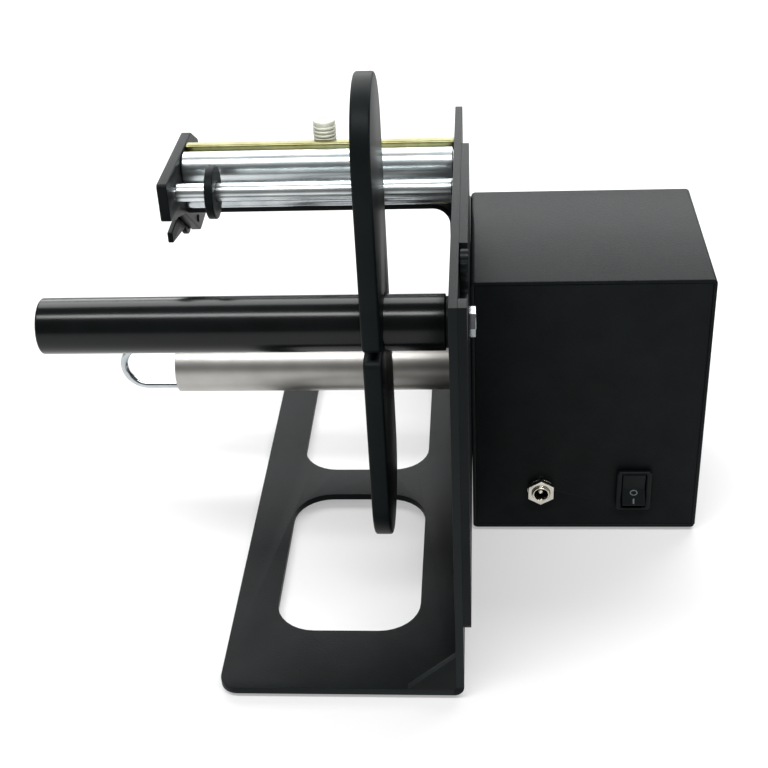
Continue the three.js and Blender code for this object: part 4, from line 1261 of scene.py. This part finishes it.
@dataclass
class PeelHead:
    """The head over which labels peel: end plate, peel bar, rods, stay screw and guide collar."""

    end: Room = room("peel_end_plate")
    nose_drop: float = 15.4
    slope_run: float = 25.0
    slope_drop: float = 23.7
    heel_run: float = 49.5
    heel_drop: float = 42.8
    back_drop: float = 41.2
    shoulder_run: float = 53.5
    shoulder_drop: float = 8.0
    nose_radius: float = 1.5
    slope_radius: float = 6.0
    heel_radius: float = 2.4
    back_radius: float = 3.0
    edge: float = 0.4
    journal_radius: float = 3.0
    idler_journal_radius: float = 2.0
    end_gap: float = 0.4
    idler_gap: float = 1.3
    bar_low_ease: float = 0.3
    bar_back_ease: float = 0.6
    bar_peel_ease: float = 1.2
    screw_hole: float = 1.9
    screw_radius: float = 1.8
    screw_tip_ease: float = 0.3
    screw_head_ease: float = 0.6
    screw_seat_ease: float = 0.15
    socket_depth: float = 1.2
    socket_share: float = 0.5
    collar_gap: float = 0.25
    collar_edge: float = 0.5

    def build(self) -> None:
        """Builds every piece of the head."""
        self.end_plate()
        self.peel_bar()
        self.rods()
        self.stay_screw()
        self.collar()

    def end_plate(self) -> None:
        """Cuts the end plate with its nose, heel and bores."""
        front, back, top = self.end.low.y, self.end.high.y, self.end.high.z
        outline = rounded(
            [
                (front, top, self.nose_radius),
                (front, top - self.nose_drop, self.nose_radius),
                (front + self.slope_run, top - self.slope_drop, self.slope_radius),
                (front + self.heel_run, top - self.heel_drop, self.heel_radius),
                (back, top - self.back_drop, self.back_radius),
                (back, top - self.shoulder_drop, self.back_radius),
                (front + self.shoulder_run, top, self.back_radius),
            ]
        )
        bores = [
            bore_at("peel_roller", self.journal_radius + SEAM),
            bore_at("idler_rod", self.idler_journal_radius + SEAM),
            bore_at("stay_screw", self.screw_hole),
        ]
        mesh = plate(outline, self.end.low.x, self.end.high.x, Axis.X, bores, self.edge)
        mount("peel_end_plate_cut", mesh, POWDER_COAT, "peel_end_plate")

    def peel_bar(self) -> None:
        """Cuts the square bar over which the labels turn."""
        bar = room("peel_bar")
        front, back, low, top = bar.low.y, bar.high.y, bar.low.z, bar.high.z
        below = [(front, low, self.bar_low_ease), (back, low, self.bar_low_ease)]
        above = [(back, top, self.bar_back_ease), (front, top, self.bar_peel_ease)]
        mesh = plate(rounded(below + above), bar.low.x, bar.high.x, Axis.X)
        mount("peel_bar_ground", mesh, YELLOW_CHROMATE, "peel_bar")

    def journal_rod(self, node: str, journal: float, gap: float) -> list[Corner]:
        """Gives the section of a rod that turns on its two journals.

        Args:
            node: The CAD rod.
            journal: The journals' radius.
            gap: The room between the rod's thick part and the end plate.

        Returns:
            The closed section.
        """
        held = room(node)
        radius = held.size.z / 2
        left = self.end.high.x + gap
        right = room("base_plate").high.x - SheetBase.sheet - self.end_gap
        near = [(held.low.x, 0.0, 0.0), (held.low.x, journal, SEAM), (left, journal, 0.0)]
        thick = [(left, radius, self.edge), (right, radius, self.edge)]
        far = [(right, journal, 0.0), (held.high.x, journal, SEAM), (held.high.x, 0.0, 0.0)]
        return near + thick + far

    def rods(self) -> None:
        """Turns the peel roller, the idler rod and the stay rod."""
        for node, body, journal, gap in (
            ("peel_roller", "roller", self.journal_radius, self.end_gap),
            ("idler_rod", "idler", self.idler_journal_radius, self.idler_gap),
        ):
            mesh = turned(self.journal_rod(node, journal, gap), Axis.X, room(node).across(Axis.X))
            mount(f"{node}_ground", mesh, CHROMED_ROD, node, body=body)
        stay = room("stay_rod")
        section = rod(stay.low.x, stay.high.x, stay.size.z / 2, self.edge)
        mesh = turned(section, Axis.X, stay.across(Axis.X))
        mount("stay_rod_drawn", mesh, ZINC_PLATED, "stay_rod")

    def stay_screw(self) -> None:
        """Turns the socket screw that holds the stay rod to the end plate."""
        screw = room("stay_screw")
        low, high, head = screw.low.x, screw.high.x, self.end.low.x - SEAM
        radius = screw.size.z / 2
        socket = radius * self.socket_share
        floor = low + self.socket_depth
        section = [
            (floor, 0.0, 0.0),
            (floor, socket, 0.0),
            (low, socket, SEAM),
            (low, radius, self.screw_head_ease),
            (head, radius, self.screw_seat_ease),
            (head, self.screw_radius, 0.0),
            (high, self.screw_radius, self.screw_tip_ease),
            (high, 0.0, 0.0),
        ]
        mesh = turned(section, Axis.X, room("stay_rod").across(Axis.X))
        mount("stay_screw_plated", mesh, ZINC_PLATED, "stay_screw")

    def collar(self) -> None:
        """Turns the guide collar that slides on the idler rod."""
        held = room("guide_collar")
        bore = room("idler_rod").size.z / 2 + self.collar_gap
        ring = sleeve(held.low.x, held.high.x, held.size.z / 2, bore, self.collar_edge)
        mesh = turned(ring, Axis.X, held.across(Axis.X))
        mount("guide_collar_turned", mesh, MOULDED_NYLON, "guide_collar", body="collar")


@dataclass
class SensorStay:
    """The folded plate that carries the sensor: a flat part with a slot, a bend and a flange."""

    held: Room = room("stay_plate")
    barrel: Room = room("sensor_barrel")
    sheet: float = 2.0
    bend: float = 7.1
    sensor_travel: float = 25.0
    slot_gap: float = 0.3

    def build(self) -> None:
        """Cuts the flat part and folds the flange."""
        low, high = self.held.low, self.held.high
        outer = self.bend + self.sheet
        right = high.x - outer + SEAM
        outline = [(low.x, low.y), (right, low.y), (right, high.y), (low.x, high.y)]
        half = self.barrel.size.y / 2 + self.slot_gap
        length = 2 * (self.sensor_travel + half)
        slot = centred(self.barrel.across(Axis.Z), length, 2 * half, half - SEAM)
        mesh = plate(outline, high.z - self.sheet, high.z, Axis.Z, [slot])
        mount("stay_plate_flat", mesh, POWDER_COAT, "stay_plate")
        centre = (high.x - outer, high.z - outer)
        section = arc(centre, outer - HAIR, math.pi / 2, 0.0, 2 * CORNER_STEPS)
        section += [(high.x - HAIR, low.z), (high.x - self.sheet, low.z)]
        section += arc(centre, self.bend + HAIR, 0.0, math.pi / 2, 2 * CORNER_STEPS)
        mesh = plate(section, low.y, high.y, Axis.Y)
        mount("stay_plate_flange", mesh, POWDER_COAT, "stay_plate")


@dataclass
class ReleaseLever:
    """The release lever outside the end plate, with its pivot pin."""

    held: Room = room("release_lever")
    thickness: float = 2.2
    hub: float = 6.5
    hub_start_degrees: float = -171.0
    tip_low: float = 3.6
    tip_high: float = 8.1
    tip_ease: float = 0.8
    knee_run: float = 19.0
    knee_height: float = 8.7
    knee_radius: float = 6.0
    edge: float = 0.4
    pin_radius: float = 1.6
    pin_ease: float = 0.3
    pin_proud: float = 0.6

    def build(self) -> None:
        """Cuts the lever and turns its pin."""
        left = self.held.low.x
        tip = self.held.low.y
        y, z = pivot = (self.held.high.y - self.hub, self.held.low.z + self.hub)
        start = math.radians(self.hub_start_degrees)
        round_hub = arc(pivot, self.hub, start, math.pi / 2, HALF_STEPS)
        outline = rounded(
            [(tip, z + self.tip_low, self.tip_ease)]
            + [(a, b, 0.0) for a, b in round_hub]
            + [(y - self.knee_run, z + self.knee_height, self.knee_radius)]
            + [(tip, z + self.tip_high, self.tip_ease)]
        )
        mesh = plate(outline, left, left + self.thickness, Axis.X, edge=self.edge)
        mount("release_lever_cut", mesh, MOULDED_NYLON, "release_lever", body="lever")
        root = left + self.thickness / 2
        tail = room("peel_end_plate").high.x + self.pin_proud
        near = [(root, 0.0, 0.0), (root, self.pin_radius, 0.0)]
        far = [(tail, self.pin_radius, self.pin_ease), (tail, 0.0, 0.0)]
        mesh = turned(near + far, Axis.X, pivot, HALF_STEPS)
        mount("release_lever_pin", mesh, MOULDED_NYLON, "release_lever", body="lever")


@dataclass
class Sensor:
    """The sensor's ribbed barrel and its two nuts."""

    barrel: Room = room("sensor_barrel")
    pitch: float = 1.6
    depth: float = 0.3
    rib_shares: tuple[float, ...] = (0.0, 0.25, 0.6, 0.85)
    rib_easings: tuple[float, ...] = (0.2, 0.25, 0.25, 0.15)
    foot_ease: float = 0.3
    top_ease: float = 0.9
    lens_share: float = 0.55
    lens_floor_share: float = 0.5
    lens_depth: float = 0.5
    lens_ease: float = 0.2
    nut_flats: float = 14.0
    nut_edge: float = 0.5

    def build(self) -> None:
        """Turns the barrel and cuts the nuts."""
        centre = self.barrel.across(Axis.Z)
        mesh = turned(self.barrel_section(), Axis.Z, centre, HALF_STEPS)
        mount("sensor_barrel_threaded", mesh, BLASTED_ALUMINIUM, "sensor_barrel", body="sensor")
        bore = circle(centre, self.barrel.size.x / 2 + SEAM, HALF_STEPS)
        outline = hexagon(centre, self.nut_flats, math.pi / 6)
        for node in ("sensor_nut_top", "sensor_nut_low"):
            nut = room(node)
            mesh = plate(outline, nut.low.z, nut.high.z, Axis.Z, [bore], self.nut_edge)
            mount(f"{node}_plated", mesh, ZINC_PLATED, node, body="sensor")

    def barrel_section(self) -> list[Corner]:
        """Gives the section of the barrel, ribbed up to its dished top.

        Returns:
            The closed section.
        """
        low, high = self.barrel.low.z, self.barrel.high.z
        outer = self.barrel.size.x / 2
        core = outer - self.depth
        section = [(low, 0.0, 0.0), (low, core, self.foot_ease)]
        for i in range(int((high - low - self.pitch) / self.pitch)):
            start = low + self.pitch * (i + 0.5)
            rib = zip((core, outer, outer, core), self.rib_shares, self.rib_easings)
            section += [(start + self.pitch * share, radius, ease) for radius, share, ease in rib]
        floor = high - self.lens_depth
        section += [(high, core, self.top_ease), (high, core * self.lens_share, self.lens_ease)]
        return [*section, (floor, core * self.lens_floor_share, 0.0), (floor, 0.0, 0.0)]


@dataclass
class Knob:
    """The small fluted knob in the main plate's notch."""

    radius: float = 5.5
    flutes: int = 12
    flute_steps: int = 8
    flute_depth: float = 0.5
    thickness: float = 3.0
    edge: float = 0.5
    screw_radius: float = 2.0
    screw_edge: float = 0.4

    def build(self) -> None:
        """Builds the knob and its screw."""
        held = room("tension_knob")
        y, z = centre = held.across(Axis.X)
        steps = self.flutes * self.flute_steps
        outline = []
        for i in range(steps):
            turn = 2 * math.pi * i / steps
            radius = self.radius - self.flute_depth * (1 - math.cos(self.flutes * turn)) / 2
            outline.append((y + radius * math.cos(turn), z + radius * math.sin(turn)))
        mesh = plate(outline, held.high.x - self.thickness, held.high.x, Axis.X, edge=self.edge)
        mount("tension_knob_moulded", mesh, MOULDED_NYLON, "tension_knob", body="knob")
        low = room("base_plate").high.x - SheetBase.sheet
        screw = rod(low, held.high.x - self.thickness / 2, self.screw_radius, self.screw_edge)
        mesh = turned(screw, Axis.X, centre, THIRD_STEPS)
        mount("tension_knob_screw", mesh, MOULDED_NYLON, "tension_knob", body="knob")


@dataclass(frozen=True)
class Softbox:
    """A rectangular studio light that looks at the machine: angles in degrees, lengths in metres."""

    name: str
    azimuth: float
    elevation: float
    distance: float
    width: float
    height: float
    radiance: float
    lights_matt_faces: bool = True

    def hang(self) -> None:
        """Hangs the light, with its power worked out from its radiance."""
        lamp = bpy.data.lights.new(self.name, "AREA")
        lamp.shape = "RECTANGLE"
        lamp.size = self.width
        lamp.size_y = self.height
        lamp.energy = self.radiance * math.pi * self.width * self.height
        holder = bpy.data.objects.new(self.name, lamp)
        holder.visible_diffuse = self.lights_matt_faces
        bpy.context.collection.objects.link(holder)
        turn = math.radians(self.azimuth)
        rise = math.radians(self.elevation)
        flat = math.cos(rise)
        away = Vector((math.sin(turn) * flat, math.cos(turn) * flat, math.sin(rise)))
        holder.location = away * self.distance
        holder.rotation_euler = away.to_track_quat("Z", "Y").to_euler()


@dataclass
class Studio:
    """The pale floor, the white surroundings, the softboxes and the camera."""

    camera_place: tuple[float, float, float] = (37.98, -507.57, 380.0)
    camera_heading: float = 4.954
    camera_tilt: float = -32.235
    camera_roll: float = -3.054
    lens: float = 63.66
    sensor: float = 36.0
    floor_reach: float = 6.0
    floor_glow: float = 0.38
    fade_start: float = 0.35
    fade_end: float = 1.1
    floor_colour: str = "#b9b9b9"
    sky_colour: str = "#ffffff"
    dim_level: float = 0.14
    softboxes: tuple[Softbox, ...] = (
        Softbox(
            name="light_back_low",
            azimuth=0.0,
            elevation=23.0,
            distance=1.7,
            width=2.4,
            height=0.55,
            radiance=4.4,
            lights_matt_faces=False,
        ),
        Softbox(
            name="light_back_high",
            azimuth=0.0,
            elevation=55.0,
            distance=1.5,
            width=2.2,
            height=0.9,
            radiance=5.5,
        ),
        Softbox(
            name="light_over_camera",
            azimuth=185.0,
            elevation=66.0,
            distance=1.5,
            width=1.8,
            height=0.25,
            radiance=18.0,
        ),
    )

    def build(self) -> None:
        """Builds the whole studio."""
        self.camera()
        self.floor()
        self.surroundings()
        for box in self.softboxes:
            box.hang()

    def camera(self) -> None:
        """Sets the camera where the photograph was taken from."""
        lens = bpy.data.cameras.new("camera")
        lens.lens = self.lens
        lens.sensor_width = self.sensor
        holder = bpy.data.objects.new("camera", lens)
        bpy.context.collection.objects.link(holder)
        heading = Matrix.Rotation(math.radians(self.camera_heading), 4, "Z")
        tilt = Matrix.Rotation(math.radians(90 + self.camera_tilt), 4, "X")
        roll = Matrix.Rotation(math.radians(self.camera_roll), 4, "Z")
        place = Matrix.Translation(Vector(self.camera_place) * MM)
        holder.matrix_world = place @ heading @ tilt @ roll
        bpy.context.scene.camera = holder

    def floor(self) -> None:
        """Lays the floor: a pale sheet that keeps the machine's shadow and is plain white far off."""
        reach = self.floor_reach
        mesh = bpy.data.meshes.new("floor")
        spots = [(-reach, -reach, 0), (reach, -reach, 0), (reach, reach, 0), (-reach, reach, 0)]
        mesh.from_pydata(spots, [], [(0, 1, 2, 3)])
        mesh.materials.append(self.paper())
        sheet = bpy.data.objects.new("floor", mesh)
        bpy.context.collection.objects.link(sheet)

    def paper(self) -> bpy.types.Material:
        """Makes the floor's matt paper, whose glow rises with distance for the camera alone.

        Returns:
            The paper as a node material.
        """
        material = bpy.data.materials.new("paper_backdrop_white")
        tree = bare_tree(material)
        matt = add_node(tree, "ShaderNodeBsdfDiffuse", values={"Color": linear(self.floor_colour)})
        place = add_node(tree, "ShaderNodeNewGeometry").outputs["Position"]
        away = add_node(tree, "ShaderNodeVectorMath", {"operation": "LENGTH"}, links={"Vector": place})
        far = add_node(
            tree,
            "ShaderNodeMapRange",
            settings={"interpolation_type": "SMOOTHSTEP"},
            values={"From Min": self.fade_start, "From Max": self.fade_end, "To Max": 1 - self.floor_glow},
            links={"Value": away.outputs["Value"]},
        )
        path = add_node(tree, "ShaderNodeLightPath")
        strength = add_node(
            tree,
            "ShaderNodeMath",
            settings={"operation": "MULTIPLY_ADD"},
            values={2: self.floor_glow},
            links={0: far.outputs["Result"], 1: path.outputs["Is Camera Ray"]},
        )
        glow = add_node(tree, "ShaderNodeEmission", links={"Strength": strength.outputs["Value"]})
        layers = {0: matt.outputs["BSDF"], 1: glow.outputs["Emission"]}
        both = add_node(tree, "ShaderNodeAddShader", links=layers)
        add_node(tree, "ShaderNodeOutputMaterial", links={"Surface": both.outputs["Shader"]})
        return material

    def surroundings(self) -> None:
        """Makes the world white to the camera and through glass, and dim as a light and in reflections."""
        world = bpy.data.worlds.new("studio")
        bpy.context.scene.world = world
        tree = bare_tree(world)
        path = add_node(tree, "ShaderNodeLightPath").outputs
        rays = {0: path["Is Camera Ray"], 1: path["Is Transmission Ray"]}
        seen = add_node(tree, "ShaderNodeMath", {"operation": "MAXIMUM"}, links=rays)
        levels = {"To Min": self.dim_level, "To Max": 1.0}
        level = add_node(tree, "ShaderNodeMapRange", values=levels, links={"Value": seen.outputs["Value"]})
        sky = add_node(
            tree,
            "ShaderNodeBackground",
            values={"Color": linear(self.sky_colour)},
            links={"Strength": level.outputs["Result"]},
        )
        add_node(tree, "ShaderNodeOutputWorld", links={"Surface": sky.outputs["Background"]})


def write_sizes() -> None:
    """Updates the view layer so that every piece stands in its place."""
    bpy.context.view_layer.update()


def main() -> None:
    """Builds the studio and every sub-assembly."""
    logging.basicConfig(level=logging.INFO, format="%(message)s")
    bpy.context.scene.view_settings.view_transform = "Standard"
    base = (SheetBase(), RubberFeet("base"))
    box = (MotorBox(), PowerJack(), Switch(), RubberFeet("housing"))
    head = (PeelHead(), SensorStay(), ReleaseLever(), Sensor(), Knob())
    for part in (Studio(), *base, *box, TakeUp(), Supply(), *head):
        log.info("building %s", type(part).__name__)
        part.build()
    write_sizes()


if __name__ == "__main__":
    main()
